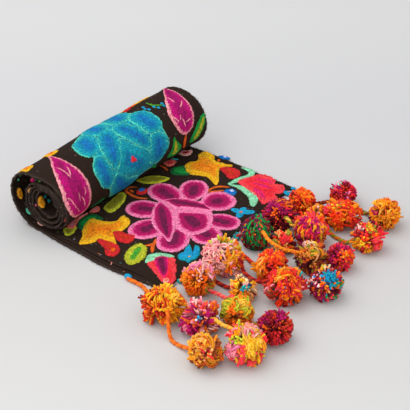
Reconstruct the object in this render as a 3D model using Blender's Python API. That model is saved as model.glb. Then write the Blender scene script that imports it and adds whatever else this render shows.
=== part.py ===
# Embroidered table runner of handwoven cotton, half rolled up, with a fringe of yarn
# pompoms on twisted cords spread on the surface it lies on. Metres, +Z up.
# +X runs along the cloth from the roll to the fringe and +Y across it. The origin is in
# the middle of the flat underside. The tables below measure from the near corner under
# the roll's axis, where the parent empty stands.

import math
import random

import bmesh
import bpy
from mathutils import Euler, Matrix, Vector

NEAR_CORNER = (-0.115, -0.159, 0.0)

# Cloth
CLOTH_WIDTH = 0.318
CLOTH_THICKNESS = 0.003
SKEW_END_NEAR = 0.238          # length of the flat part along its near edge
SKEW_PER_WIDTH = -0.060        # the end edge draws back by this for each metre of width
STATIONS_ACROSS = 9
STEPS_PER_TURN = 26
FLAT_STEPS = 12
ROLL_TURNS = 4.75
TANGENT_STEP = 0.002           # share of a turn used to find which way the cloth runs
NEAR_SLUMP = 0.085             # width over which the near end of the roll has settled
NEAR_SINK = 0.0060             # how far its top sinks there, and how far its front
NEAR_BULGE = 0.0062            # bulges over the flat part
FAR_SLUMP = 0.078
FAR_SINK = 0.0018
SHARP_ANGLE = math.radians(40)

# Pompoms and cords
HEAD_SHARE = 0.80              # radius of a pompom's packed head over its whole radius
HEIGHT_SHARE = 0.88            # height of its middle over its whole radius
LOCKS_PER_POMPOM = 12
LOCK_WAIST = 0.97              # a lock's width at mid length and at its tip, over its root
LOCK_TIP = 0.72
LOCK_LEAN = 0.10
LOCK_SHORTEST = 0.94
LOW_LOCK = -0.58               # a lock that points lower than this rests on the surface
BUMP_SHARE = 0.93              # reach of the head's own bumps between its locks
CORD_CLEARANCE = 0.84          # least cosine kept free of locks around a cord
CORD_RADIUS = 0.0028
CORD_LAY = 0.016               # length of one full turn of the two plies
STEPS_PER_LAY = 5
PLY_HALF_ANGLE = 0.62          # half the angle that one ply fills, seen from the middle
PLY_REACH = 0.94               # how far its corners stand out, over the cord's radius
PLY_WAIST = 0.55               # and the hollow between the two plies
CURVE_PARTS = 12               # straight pieces between two points of a cord's route
SHORT_SPAN = 4                 # cord radii below which a cord goes straight across
ENTRY_SLOPE = -0.42            # how steeply a cord rises from its pompom, or drops away
LIP = 1.12                     # where it leaves the locks, over the pompom's radius
GAP = 0.0004

# The roll from the outside inwards: half width and half height of each turn, its middle
# along X and Z, and how far the near and far edges of that turn stand proud
TURN_COLUMNS = ("turn", "half_x", "half_z", "middle_x", "middle_z", "near", "far")
TURNS = (
    (0.0, 0.0497, 0.0497, 0.0000, 0.0512, 0.000, 0.000),
    (0.3, 0.0487, 0.0487, 0.0000, 0.0512, 0.001, 0.000),
    (0.5, 0.0479, 0.0479, 0.0000, 0.0512, 0.005, 0.001),
    (0.62, 0.0476, 0.0476, 0.0000, 0.0512, -0.002, 0.004),
    (0.75, 0.0474, 0.0474, 0.0004, 0.0512, -0.002, 0.006),
    (0.9, 0.0468, 0.0468, 0.0010, 0.0512, -0.012, 0.005),
    (1.0, 0.0440, 0.0450, 0.0035, 0.0502, -0.011, 0.003),
    (1.25, 0.0337, 0.0408, 0.0114, 0.0480, -0.001, -0.003),
    (1.5, 0.0330, 0.0375, 0.0120, 0.0480, 0.002, -0.003),
    (1.625, 0.0332, 0.0382, 0.0125, 0.0490, 0.001, -0.003),
    (1.75, 0.0320, 0.0380, 0.0116, 0.0480, 0.000, -0.003),
    (1.875, 0.0292, 0.0362, 0.0108, 0.0464, -0.003, -0.003),
    (2.0, 0.0284, 0.0335, 0.0108, 0.0465, -0.003, -0.002),
    (2.5, 0.0280, 0.0334, 0.0116, 0.0472, 0.000, -0.003),
    (2.625, 0.0284, 0.0346, 0.0116, 0.0475, -0.001, -0.004),
    (2.75, 0.0270, 0.0330, 0.0114, 0.0474, -0.001, -0.004),
    (3.0, 0.0236, 0.0262, 0.0112, 0.0477, -0.002, -0.004),
    (3.25, 0.0230, 0.0264, 0.0116, 0.0485, -0.002, -0.004),
    (3.5, 0.0226, 0.0272, 0.0116, 0.0487, -0.002, -0.005),
    (3.75, 0.0214, 0.0262, 0.0114, 0.0490, -0.003, -0.006),
    (4.0, 0.0180, 0.0205, 0.0114, 0.0505, -0.004, -0.006),
    (4.75, 0.0158, 0.0203, 0.0116, 0.0505, -0.006, -0.007),
)

# The two long edges of the flat part: how far each stands out at a distance along it
EDGE_COLUMNS = ("along", "near", "far")
EDGES = (
    (0.000, 0.000, 0.000),
    (0.045, 0.005, 0.002),
    (0.085, 0.007, 0.003),
    (0.120, 0.010, 0.002),
    (0.150, 0.010, 0.001),
    (0.180, 0.006, 0.002),
    (0.240, 0.002, 0.000),
)

# Pompoms: place of the middle, radius, how much longer than wide, and the heading of
# the long way in degrees
POMPOM_COLUMNS = ("x", "y", "radius", "long", "heading")
POMPOMS = {
    "yellow_flame": (0.271, -0.048, 0.0252, 1.00, 0),
    "orange_pink": (0.269, 0.028, 0.0226, 1.00, 0),
    "pink_orange": (0.266, 0.086, 0.0255, 1.00, 0),
    "forest_mix": (0.262, 0.165, 0.0222, 1.00, 0),
    "purple_orange": (0.262, 0.219, 0.0238, 1.00, 0),
    "red_orange": (0.261, 0.277, 0.0195, 1.00, 0),
    "magenta_berry": (0.297, 0.330, 0.0197, 1.00, 0),
    "long_orange": (0.330, 0.281, 0.0220, 1.18, 40),
    "far_amber": (0.375, 0.319, 0.0221, 1.00, 0),
    "red_yellow": (0.390, 0.254, 0.0208, 1.00, 0),
    "magenta_flame": (0.318, 0.218, 0.0232, 1.00, 0),
    "small_yellow": (0.296, 0.264, 0.0143, 1.00, 0),
    "red_star": (0.300, 0.178, 0.0160, 1.00, 0),
    "orange_red": (0.326, 0.114, 0.0210, 1.10, 100),
    "orange_dots": (0.372, 0.085, 0.0250, 1.00, 0),
    "yellow_brown": (0.355, 0.165, 0.0205, 1.00, 0),
    "dark_magenta": (0.385, 0.193, 0.0190, 1.00, 0),
    "blue_mix": (0.408, 0.125, 0.0225, 1.00, 0),
    "teal_mix": (0.326, 0.052, 0.0178, 1.00, 0),
    "lime_loops": (0.352, 0.006, 0.0190, 1.10, 60),
    "magenta_white": (0.326, -0.037, 0.0230, 1.00, 0),
    "dark_red": (0.412, 0.006, 0.0228, 1.00, 0),
    "pink_yellow": (0.406, -0.047, 0.0240, 1.05, -60),
    "golden_brown": (0.372, -0.086, 0.0213, 1.00, 0),
}

# Cords: what each leaves, the places it passes on the surface, and the pompom it ends
# in. A cord that leaves the cloth gives its place across the end edge instead of a name,
# and one that arches over the others gives the height of its places, and its two slopes.
CORD_COLUMNS = ("start", "via", "end", "leaving", "arriving")
CORDS = (
    ("side", ((0.205, -0.0130), (0.228, -0.0230)), "yellow_flame"),
    ("yellow_flame", ((0.312, -0.0790),), "golden_brown", 0.25, ENTRY_SLOPE),
    (0.008, ((0.262, 0.0000), (0.290, -0.0150)), "magenta_white"),
    ("magenta_white", ((0.362, -0.0400, 0.028),), "pink_yellow", 0.38, 0.40),
    (0.028, (), "orange_pink"),
    ("orange_pink", ((0.304, 0.0270, 0.011), (0.326, 0.0170, 0.020)), "lime_loops",
     ENTRY_SLOPE, 1.0),
    ("lime_loops", (), "dark_red"),
    (0.053, ((0.268, 0.0570), (0.292, 0.0560)), "teal_mix"),
    (0.087, (), "pink_orange"),
    ("pink_orange", ((0.302, 0.0860, 0.013), (0.326, 0.0815, 0.012)), "orange_dots",
     0.28, -0.1),
    (0.126, ((0.268, 0.1290), (0.290, 0.1220)), "orange_red"),
    (0.162, (), "forest_mix"),
    ("forest_mix", ((0.298, 0.1470, 0.031), (0.320, 0.1470, 0.027)), "yellow_brown",
     0.52, 0.3),
    ("yellow_brown", (), "blue_mix"),
    (0.190, ((0.262, 0.1910), (0.276, 0.1870)), "red_star"),
    ("red_star", ((0.345, 0.1890),), "dark_magenta"),
    (0.216, (), "purple_orange"),
    ("purple_orange", ((0.292, 0.2040, 0.030),), "magenta_flame", 0.4, 0.2),
    (0.246, ((0.262, 0.2500), (0.276, 0.2570)), "small_yellow"),
    ("small_yellow", ((0.338, 0.2480), (0.360, 0.2460)), "red_yellow"),
    (0.273, (), "red_orange"),
    ("red_orange", (), "magenta_berry"),
    ("magenta_berry", ((0.338, 0.3260),), "far_amber"),
    (0.303, ((0.262, 0.3040), (0.292, 0.2990)), "long_orange"),
)
SIDE_KNOT = (0.178, -0.0100)   # where the outermost cord is knotted to the near edge
SIDE_LEAD = (0.0030, -0.0020)  # and the short way it first runs clear of that edge

COLOURS = {
    "cloth": (0.018, 0.013, 0.012),
    "yellow_flame": (0.80, 0.32, 0.02),
    "orange_pink": (0.78, 0.20, 0.03),
    "pink_orange": (0.80, 0.30, 0.25),
    "forest_mix": (0.12, 0.12, 0.06),
    "purple_orange": (0.42, 0.04, 0.10),
    "red_orange": (0.70, 0.08, 0.02),
    "magenta_berry": (0.52, 0.02, 0.09),
    "long_orange": (0.78, 0.12, 0.02),
    "far_amber": (0.80, 0.24, 0.02),
    "red_yellow": (0.72, 0.12, 0.03),
    "magenta_flame": (0.60, 0.06, 0.08),
    "small_yellow": (0.75, 0.36, 0.08),
    "red_star": (0.72, 0.05, 0.03),
    "orange_red": (0.80, 0.10, 0.01),
    "orange_dots": (0.78, 0.11, 0.02),
    "yellow_brown": (0.50, 0.22, 0.06),
    "dark_magenta": (0.42, 0.03, 0.07),
    "blue_mix": (0.10, 0.16, 0.30),
    "teal_mix": (0.45, 0.32, 0.14),
    "lime_loops": (0.48, 0.38, 0.03),
    "magenta_white": (0.52, 0.06, 0.19),
    "dark_red": (0.36, 0.02, 0.05),
    "pink_yellow": (0.80, 0.26, 0.14),
    "golden_brown": (0.68, 0.27, 0.03),
    "cord": (0.55, 0.14, 0.02),
}


def clear_scene():
    for thing in list(bpy.data.objects):
        bpy.data.objects.remove(thing)


def add_corner():
    """The empty that every piece hangs on, at the near corner under the roll's axis."""
    corner = bpy.data.objects.new("near_corner", None)
    corner.location = NEAR_CORNER
    bpy.context.scene.collection.objects.link(corner)
    return corner


def matte(name, colour):
    material = bpy.data.materials.new(name)
    material.use_nodes = True
    shader = material.node_tree.nodes["Principled BSDF"]
    shader.inputs["Base Color"].default_value = (*colour, 1.0)
    shader.inputs["Roughness"].default_value = 0.9
    shader.inputs["Metallic"].default_value = 0.0
    return material


def add_object(name, mesh_data, colour, corner, place=(0.0, 0.0, 0.0)):
    mesh = bpy.data.meshes.new(name)
    bmesh.ops.recalc_face_normals(mesh_data, faces=mesh_data.faces)
    mesh_data.to_mesh(mesh)
    mesh_data.free()
    mesh.shade_smooth()
    mesh.set_sharp_from_angle(angle=SHARP_ANGLE)
    mesh.materials.append(matte(name, colour))
    thing = bpy.data.objects.new(name, mesh)
    thing.parent = corner
    thing.location = place
    bpy.context.scene.collection.objects.link(thing)
    return thing


def read_table(rows, columns, at):
    """The row of values at a place given by the first column, read between its rows."""
    last = len(rows) - 1
    index = 0
    while index < last - 1 and rows[index + 1][0] < at:
        index += 1
    low = rows[index]
    high = rows[index + 1]
    share = min(max((at - low[0]) / (high[0] - low[0]), 0.0), 1.0)
    values = [a + (b - a) * share for a, b in zip(low, high)]
    return dict(zip(columns, values))


def end_of_cloth(across):
    return SKEW_END_NEAR + SKEW_PER_WIDTH * across


def slump(across):
    """How far the roll has settled at this place along its width: at the top, and at the
    front."""
    near = max(1 - across / NEAR_SLUMP, 0.0) ** 1.3
    far = min(max((across - CLOTH_WIDTH + FAR_SLUMP) / FAR_SLUMP, 0.0), 1.0)
    return NEAR_SINK * near + FAR_SINK * far, NEAR_BULGE * near


def roll_point(turn, across):
    """Middle of the cloth in the roll, turn by turn from the surface up the back."""
    row = read_table(TURNS, TURN_COLUMNS, turn)
    angle = math.tau * turn
    x = row["middle_x"] - row["half_x"] * math.sin(angle)
    z = row["middle_z"] - row["half_z"] * math.cos(angle)
    sink, bulge = slump(across)
    height = z / (2 * row["middle_z"])
    front = min(max(x / TURNS[0][1], 0.0), 1.0)
    return x + bulge * front, z - sink * height ** 2


def cloth_stations():
    """Places along the strip from the inner end of the roll to the end of the flat part,
    as (turn, share of the flat part's length)."""
    count = round(ROLL_TURNS * STEPS_PER_TURN)
    rolled = [(ROLL_TURNS * (1 - step / count), 0.0) for step in range(count)]
    laid = [(0.0, step / FLAT_STEPS) for step in range(FLAT_STEPS + 1)]
    return rolled + laid


def cloth_corner(station, share):
    """Upper and lower point of the cloth's surface at one station and one row."""
    turn, along_flat = station
    across = CLOTH_WIDTH * share
    if turn > 0.0:
        row = read_table(TURNS, TURN_COLUMNS, turn)
        x, z = roll_point(turn, across)
        before = roll_point(turn + TANGENT_STEP, across)
        after = roll_point(max(turn - TANGENT_STEP, 0.0), across)
        along = Vector((after[0] - before[0], 0.0, after[1] - before[1])).normalized()
    else:
        x = along_flat * end_of_cloth(across)
        z = CLOTH_THICKNESS / 2
        row = read_table(EDGES, EDGE_COLUMNS, x)
        along = Vector((1.0, 0.0, 0.0))
    y = -row["near"] + (CLOTH_WIDTH + row["near"] + row["far"]) * share
    up = Vector((-along.z, 0.0, along.x))
    middle = Vector((x, y, z))
    half = up * CLOTH_THICKNESS / 2
    return middle + half, middle - half


def make_cloth(corner):
    """One strip of cloth wound up at its far end and laid flat at the other."""
    stations = cloth_stations()
    body = bmesh.new()
    upper = []
    lower = []
    for row in range(STATIONS_ACROSS):
        share = row / (STATIONS_ACROSS - 1)
        pairs = [cloth_corner(station, share) for station in stations]
        upper.append([body.verts.new(pair[0]) for pair in pairs])
        lower.append([body.verts.new(pair[1]) for pair in pairs])
    last = len(stations) - 1
    for row in range(STATIONS_ACROSS - 1):
        for side in (upper, lower):
            for index in range(last):
                corners = (side[row][index], side[row][index + 1],
                           side[row + 1][index + 1], side[row + 1][index])
                body.faces.new(corners if side is upper else corners[::-1])
        for index in (0, last):
            corners = (upper[row][index], upper[row + 1][index],
                       lower[row + 1][index], lower[row][index])
            body.faces.new(corners)
    for row in (0, STATIONS_ACROSS - 1):
        for index in range(last):
            corners = (upper[row][index], lower[row][index],
                       lower[row][index + 1], upper[row][index + 1])
            body.faces.new(corners)
    return add_object("cloth", body, COLOURS["cloth"], corner)


def pompom_row(name):
    return dict(zip(POMPOM_COLUMNS, POMPOMS[name]))


def pompom_middle(name):
    row = pompom_row(name)
    return Vector((row["x"], row["y"], row["radius"] * HEIGHT_SHARE))


def stretch_of(row):
    """Lengthening of a pompom along its heading, as a matrix."""
    turn = Matrix.Rotation(math.radians(row["heading"]), 3, "Z")
    longer = Matrix.Diagonal((row["long"], 1.0, 1.0))
    return turn @ longer @ turn.transposed()


def entry_direction(name, towards, slope):
    """The way a cord leaves a pompom's middle: towards a place, and up or down."""
    flat = Vector(towards) - pompom_middle(name).to_2d()
    return Vector((*flat.normalized(), slope)).normalized()


def spread_faces(faces, count, free_of):
    """Faces well apart from each other, and none where a cord leaves."""
    def direction(face):
        return face.calc_center_median().normalized()
    open_faces = [f for f in faces
                  if all(direction(f).dot(way) < CORD_CLEARANCE for way in free_of)]
    chosen = [max(open_faces, key=lambda f: direction(f).z)]
    while len(chosen) < min(count, len(open_faces)):
        rest = [f for f in open_faces if f not in chosen]
        chosen.append(min(rest, key=lambda f: max(direction(f).dot(direction(c))
                                                  for c in chosen)))
    return chosen


def grow_lock(body, face, head, reach, height, lean):
    """A three-sided lock of yarn raised from one face of the head. One that points down
    is short and ends level on the surface, and any other grows in two lengths."""
    way = face.calc_center_median().normalized()
    low = way.z < LOW_LOCK
    steps = ((1.0, LOCK_TIP),) if low else ((0.5, LOCK_WAIST), (1.0, LOCK_TIP / LOCK_WAIST))
    for share, width in steps:
        face = bmesh.ops.extrude_discrete_faces(body, faces=[face])["faces"][0]
        middle = face.calc_center_median()
        target = (way + lean * share) * (head + (reach - head) * share)
        for vert in face.verts:
            vert.co = target + (vert.co - middle) * width
    if low:
        for vert in face.verts:
            vert.co.z = -height


def raise_bumps(peaks, ways, reach, height):
    """Peaks of the head pulled out between its locks, except beside a cord."""
    for vert in peaks:
        way = vert.co.normalized()
        if all(way.dot(cord) < CORD_CLEARANCE for cord in ways):
            vert.co = way * reach * BUMP_SHARE
            vert.co.z = max(vert.co.z, -height)


def make_pompom(name, ways, seed, corner):
    """A packed head of yarn with locks standing out from it all round."""
    dice = random.Random(seed)
    row = pompom_row(name)
    reach = row["radius"]
    head = reach * HEAD_SHARE
    body = bmesh.new()
    bmesh.ops.create_icosphere(body, subdivisions=2, radius=head)
    spin = Euler([dice.uniform(0, math.tau) for _ in range(3)]).to_matrix()
    bmesh.ops.rotate(body, matrix=spin, verts=body.verts)
    middles = [f for f in body.faces if all(len(v.link_edges) == 6 for v in f.verts)]
    raise_bumps([v for v in body.verts if len(v.link_edges) == 5], ways, reach,
                reach * HEIGHT_SHARE)
    for face in spread_faces(middles, LOCKS_PER_POMPOM, ways):
        lean = Vector([dice.uniform(-LOCK_LEAN, LOCK_LEAN) for _ in range(3)])
        length = reach * dice.uniform(LOCK_SHORTEST, 1.0)
        grow_lock(body, face, head, length, reach * HEIGHT_SHARE, lean)
    stretch = stretch_of(row)
    for vert in body.verts:
        vert.co = stretch @ vert.co
    return add_object("pompom_" + name, body, COLOURS[name], corner, pompom_middle(name))


def pompom_exit(name, towards, slope):
    """Where a cord comes out of a pompom's head, and where it clears the locks."""
    row = pompom_row(name)
    way = entry_direction(name, towards, slope)
    middle = pompom_middle(name)
    stretch = stretch_of(row)
    start = middle + stretch @ (way * row["radius"] * HEAD_SHARE) + way * GAP
    lip = middle + stretch @ (way * row["radius"] * LIP)
    lip.z = max(lip.z, CORD_RADIUS)
    return start, lip


def cord_route(start, via, end, leaving=ENTRY_SLOPE, arriving=ENTRY_SLOPE):
    """The points a cord passes, from the cloth or a pompom to the pompom at its end."""
    floor = [Vector((*spot, CORD_RADIUS)[:3]) for spot in via]
    target = pompom_middle(end)
    if start == "side":
        knot = Vector((*SIDE_KNOT, CORD_RADIUS))
        leave = [knot, knot + Vector((*SIDE_LEAD, 0.0))]
    elif isinstance(start, float):
        edge = end_of_cloth(start) + CORD_RADIUS * math.sin(abs(SKEW_PER_WIDTH)) + GAP
        leave = [Vector((edge, start, CORD_RADIUS)),
                 Vector((edge + CORD_RADIUS, start, CORD_RADIUS))]
    else:
        first = floor[0] if floor else target
        leave = list(pompom_exit(start, first.to_2d(), leaving))
    last = floor[-1] if floor else leave[0]
    arrive = list(pompom_exit(end, last.to_2d(), arriving))
    if not floor and (leave[-1] - arrive[-1]).length < CORD_RADIUS * SHORT_SPAN:
        return [leave[0], (leave[-1] + arrive[-1]) / 2, arrive[0]]
    return [*leave, *floor, *arrive[::-1]]


def smooth_path(points, step):
    """Points at even steps along a smooth curve through the given ones."""
    ends = [2 * points[0] - points[1], *points, 2 * points[-1] - points[-2]]
    fine = []
    for index in range(1, len(ends) - 2):
        a, b, c, d = ends[index - 1:index + 3]
        for part in range(CURVE_PARTS):
            t = part / CURVE_PARTS
            fine.append(0.5 * (2 * b + (c - a) * t + (2 * a - 5 * b + 4 * c - d) * t ** 2
                               + (3 * b - a - 3 * c + d) * t ** 3))
    fine.append(points[-1])
    lengths = [0.0]
    for before, after in zip(fine, fine[1:]):
        lengths.append(lengths[-1] + (after - before).length)
    count = max(2, round(lengths[-1] / step))
    path = []
    index = 0
    for number in range(count + 1):
        wanted = lengths[-1] * number / count
        while index < len(fine) - 2 and lengths[index + 1] < wanted:
            index += 1
        share = (wanted - lengths[index]) / (lengths[index + 1] - lengths[index])
        path.append(fine[index].lerp(fine[index + 1], share))
    return path


def ply_section(turn):
    """Outline of two round plies side by side, turned about the cord's middle."""
    outline = []
    for side in (0.0, math.pi):
        outline.append((side - PLY_HALF_ANGLE, PLY_REACH))
        outline.append((side + PLY_HALF_ANGLE, PLY_REACH))
        outline.append((side + math.pi / 2, PLY_WAIST))
    return [(CORD_RADIUS * reach * math.cos(angle + turn),
             CORD_RADIUS * reach * math.sin(angle + turn)) for angle, reach in outline]


def make_cord(number, row, corner):
    """A two-ply twisted cord along its route, with a flat cut at both ends."""
    path = smooth_path(cord_route(*row), CORD_LAY / STEPS_PER_LAY)
    body = bmesh.new()
    rings = []
    for index, point in enumerate(path):
        before = path[max(index - 1, 0)]
        after = path[min(index + 1, len(path) - 1)]
        along = (after - before).normalized()
        side = along.cross(Vector((0, 0, 1))).normalized()
        up = side.cross(along)
        section = ply_section(math.tau * index / STEPS_PER_LAY)
        ring = [point + side * across + up * lift for across, lift in section]
        lowest = min(p.z for p in ring)
        if lowest < 0.0:
            ring = [p - Vector((0, 0, lowest)) for p in ring]
        rings.append([body.verts.new(p) for p in ring])
    for ring, following in zip(rings, rings[1:]):
        for spot in range(len(ring)):
            other = (spot + 1) % len(ring)
            body.faces.new((ring[spot], ring[other], following[other], following[spot]))
    body.faces.new(rings[0][::-1])
    body.faces.new(rings[-1])
    return add_object(f"cord_{number:02d}", body, COLOURS["cord"], corner)


def cord_ways(name):
    """Every direction in which a cord leaves this pompom."""
    ways = []
    for row in CORDS:
        route = cord_route(*row)
        if row[0] == name:
            ways.append((route[1] - pompom_middle(name)).normalized())
        if row[2] == name:
            ways.append((route[-2] - pompom_middle(name)).normalized())
    return ways


clear_scene()
near_corner = add_corner()
make_cloth(near_corner)
for seed, pompom_name in enumerate(POMPOMS):
    make_pompom(pompom_name, cord_ways(pompom_name), seed, near_corner)
for cord_number, cord_row in enumerate(CORDS, start=1):
    make_cord(cord_number, cord_row, near_corner)
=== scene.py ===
import math

import bmesh
import bpy
import numpy as np
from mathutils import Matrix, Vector


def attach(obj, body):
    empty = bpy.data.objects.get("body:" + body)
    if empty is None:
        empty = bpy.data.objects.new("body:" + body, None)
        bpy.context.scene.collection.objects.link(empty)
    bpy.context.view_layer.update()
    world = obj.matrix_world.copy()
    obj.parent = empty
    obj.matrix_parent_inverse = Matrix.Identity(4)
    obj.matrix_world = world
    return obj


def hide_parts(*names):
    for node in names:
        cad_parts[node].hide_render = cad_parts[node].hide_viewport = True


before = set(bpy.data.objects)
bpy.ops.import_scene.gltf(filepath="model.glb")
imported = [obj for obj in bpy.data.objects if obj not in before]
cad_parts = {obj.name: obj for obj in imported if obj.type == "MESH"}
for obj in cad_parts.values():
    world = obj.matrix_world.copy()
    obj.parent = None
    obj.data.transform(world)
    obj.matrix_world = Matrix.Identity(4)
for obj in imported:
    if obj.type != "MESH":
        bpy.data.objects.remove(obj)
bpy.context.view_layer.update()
body = "root"
scene = bpy.context.scene
mm = 0.001
floorGap = 0.0003             # how near to the surface yarn comes
weld = 2e-6                   # points nearer than this are one

# Yarn colours as the eye sees them, red, green and blue from 0 to 255
yarn = {
    "white": (242, 228, 218), "cream": (250, 216, 166),
    "paleRose": (238, 140, 180), "rose": (224, 120, 162), "hotPink": (184, 26, 106),
    "magenta": (148, 4, 82), "plum": (98, 14, 62), "leafMagenta": (166, 0, 104),
    "fuchsia": (214, 22, 112), "pink": (248, 150, 160), "palePink": (252, 192, 182),
    "leafEdge": (246, 164, 172), "leafDeep": (142, 4, 90),
    "coral": (232, 70, 80), "salmon": (246, 124, 110), "red": (184, 36, 40),
    "brick": (176, 48, 16), "darkRed": (120, 14, 26), "wine": (86, 10, 32),
    "flame": (244, 66, 10), "orange": (246, 118, 10), "gold": (240, 148, 22),
    "amber": (250, 168, 24), "yellow": (250, 202, 48), "tan": (206, 132, 56),
    "brown": (122, 58, 24), "rust": (196, 92, 22), "lime": (164, 168, 44),
    "olive": (124, 122, 28), "leafGreen": (76, 142, 42), "green": (14, 132, 58),
    "darkGreen": (8, 88, 48), "mint": (128, 190, 154), "paleTeal": (84, 186, 160),
    "teal": (12, 146, 148), "turquoise": (10, 138, 154), "cyan": (20, 144, 184),
    "blue": (8, 104, 162), "deepBlue": (14, 88, 184), "navy": (30, 44, 100),
    "skyWhite": (214, 220, 244), "azure": (4, 116, 152), "scarlet": (220, 44, 60),
    "starYellow": (242, 188, 30), "starGold": (240, 152, 18), "leafLime": (170, 174, 46),
    "rope": (210, 112, 26), "ropeDark": (190, 92, 20), "starOrange": (230, 126, 16),
    "fibre": (104, 88, 78), "fibreDark": (58, 46, 42), "tuftAmber": (250, 176, 44),
    "peach": (240, 176, 110), "straw": (248, 194, 80), "strawDark": (238, 178, 60),
    "saffron": (242, 150, 34), "saffronDark": (230, 132, 24),
}
# how far a yarn's weaker channels are pushed down, how much lighter its fibres are than
# the whole, the lightest that a channel gets, and how far one shade may be off
dye = {"push": 0.12, "gain": 1.42, "most": 0.95, "shades": (0.6, 1.4)}


# The runner in metres, as the solids lie: the near corner is under the roll's axis
runner = {
    "corner": (-0.115, -0.159, 0.0),
    "width": 0.318, "turns": 4.75,
    "endNear": 0.238, "endSkew": -0.060,
    "sheet": 0.0018, "hem": 0.0030, "hemWidth": 0.0082,
    "ridge": 0.0064,          # how high the cloth steps up behind its near hem
    "lumps": 0.00042,         # how uneven the borders are
    "wave": 0.0004,           # slack in the flat part
    "dent": 0.0005,           # slack in the roll
    "paintedRimLight": (0.0042, 0.0006, 0.16),     # where the painted highlight on the borders starts and is full, and how pale it makes them
}
# turn from the bottom up the back, half width and half height of the turn, its middle
# in x and z, and how far its near and far edges stand proud
rollTable = np.array((
    (0.0, 0.0497, 0.0497, 0.0000, 0.0512, 0.000, 0.000),
    (0.3, 0.0487, 0.0487, 0.0000, 0.0512, 0.001, 0.000),
    (0.5, 0.0479, 0.0479, 0.0000, 0.0512, 0.005, 0.001),
    (0.62, 0.0476, 0.0476, 0.0000, 0.0512, -0.002, 0.004),
    (0.75, 0.0474, 0.0474, 0.0004, 0.0512, -0.002, 0.006),
    (0.9, 0.0468, 0.0468, 0.0010, 0.0512, -0.012, 0.005),
    (1.0, 0.0440, 0.0450, 0.0035, 0.0502, -0.011, 0.003),
    (1.25, 0.0337, 0.0408, 0.0114, 0.0480, -0.001, -0.003),
    (1.5, 0.0330, 0.0375, 0.0120, 0.0480, 0.002, -0.003),
    (1.625, 0.0332, 0.0382, 0.0125, 0.0490, 0.001, -0.003),
    (1.75, 0.0320, 0.0380, 0.0116, 0.0480, 0.000, -0.003),
    (1.875, 0.0292, 0.0362, 0.0108, 0.0464, -0.003, -0.003),
    (2.0, 0.0284, 0.0335, 0.0108, 0.0465, -0.003, -0.002),
    (2.5, 0.0280, 0.0334, 0.0116, 0.0472, 0.000, -0.003),
    (2.625, 0.0284, 0.0346, 0.0116, 0.0475, -0.001, -0.004),
    (2.75, 0.0270, 0.0330, 0.0114, 0.0474, -0.001, -0.004),
    (3.0, 0.0236, 0.0262, 0.0112, 0.0477, -0.002, -0.004),
    (3.25, 0.0230, 0.0264, 0.0116, 0.0485, -0.002, -0.004),
    (3.5, 0.0226, 0.0272, 0.0116, 0.0487, -0.002, -0.005),
    (3.75, 0.0214, 0.0262, 0.0114, 0.0490, -0.003, -0.006),
    (4.0, 0.0180, 0.0205, 0.0114, 0.0505, -0.004, -0.006),
    (4.75, 0.0158, 0.0203, 0.0116, 0.0505, -0.006, -0.007),
))
# how far the roll has settled at its ends: over what width, and down and forwards; and
# the turns over which it meets the surface
slump = {"near": 0.085, "nearDown": 0.0060, "nearOut": 0.0062, "power": 1.3,
         "far": 0.078, "farDown": 0.0018, "meets": (0.02, 0.16)}
turnStep = 0.002              # share of a turn over which the roll's way is taken
# slack in the outer turn: the turns over which it comes and goes, and its wavelength
slack = {"comes": (0.04, 0.2), "goes": (0.86, 0.98), "wave": 0.118}
# distance along the flat part, how far its near and far edges stand out
edgeTable = np.array((
    (0.000, 0.000, 0.000), (0.045, 0.005, 0.002), (0.085, 0.007, 0.003), (0.120, 0.010, 0.002),
    (0.150, 0.010, 0.001), (0.180, 0.006, 0.002), (0.240, 0.002, 0.000),
))
aroundRoll = 0.300            # metres of cloth in its outermost turn
corner = np.array(runner["corner"])
# the hem's step down to the single cloth, its sewn line (how deep, how far outside the
# step and how wide), and the least distance from the border and height that work has
hem = {"step": 0.0016, "seam": 0.0016, "seamIn": 0.0010, "seamWide": 0.0008,
       "least": 0.001, "lowest": 0.0004}
# the flat part off the surface: where the step behind the near hem rises and how soon it
# falls, where along the cloth it comes and goes and by how much it goes, the slack's two
# wavelengths, and how far in from the borders and the roll the slack begins
air = {"rise": (0.0074, 0.0104), "fall": 0.018, "comes": (0.020, 0.060),
       "goes": (0.165, 0.215), "gone": 0.7, "waves": (0.092, 0.137),
       "border": (0.0, 0.02), "roll": (0.018, 0.050)}
# the borders' lumps: wavelength, size and how far each wave is shifted, how deep they
# reach, the phase of each set, and how far from the roll those of the flat part are full
lumps = {"waves": ((0.0083, 1.0, 1.0), (0.0137, 0.8, 2.3), (0.0059, 0.6, 4.1)),
         "depth": 0.005, "face": 0.7, "side": 5.0, "laid": 1.9, "far": 3.0, "starts": 0.03}
# points on the cloth: in from its border as shares of half the hem's thickness, then in
# metres; from where and how many over the rest of the width; how many in the inner turns,
# the outermost turn and the flat part, whose even points end at a share of its length and
# are followed by the hem's, back from the end, over its usual length
clothGrid = {"round": (0.0, 0.1, 0.35, 0.7, 1.0),
             "hem": (0.0038, 0.0062, 0.0070, 0.0078, 0.0086, 0.0094, 0.0102, 0.0122, 0.0150),
             "middle": 0.0195, "across": 46, "inner": 165, "outer": 110, "flat": 90,
             "even": 0.92, "usual": 0.23}


# Small tools

def linear(name):
    # the yarn's colour with the screen's curve taken off, the shade of its own fibres
    # given back and its weaker channels pushed down by a power of their share
    c = np.array(yarn[name]) / 255.0
    c = np.where(c <= 0.04045, c / 12.92, ((c + 0.055) / 1.055) ** 2.4)
    c = c * (c / c.max()) ** dye["push"]
    return c * min(dye["gain"], dye["most"] / c.max())


def smoothStep(low, high, x):
    # 0 below low, 1 above high, 3t^2 - 2t^3 between
    t = np.clip((x - low) / (high - low), 0.0, 1.0)
    return t * t * (3.0 - 2.0 * t)


def unit(v):
    # the same directions at length one
    return v / np.maximum(np.linalg.norm(v, axis=-1, keepdims=True), 1e-12)


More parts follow.
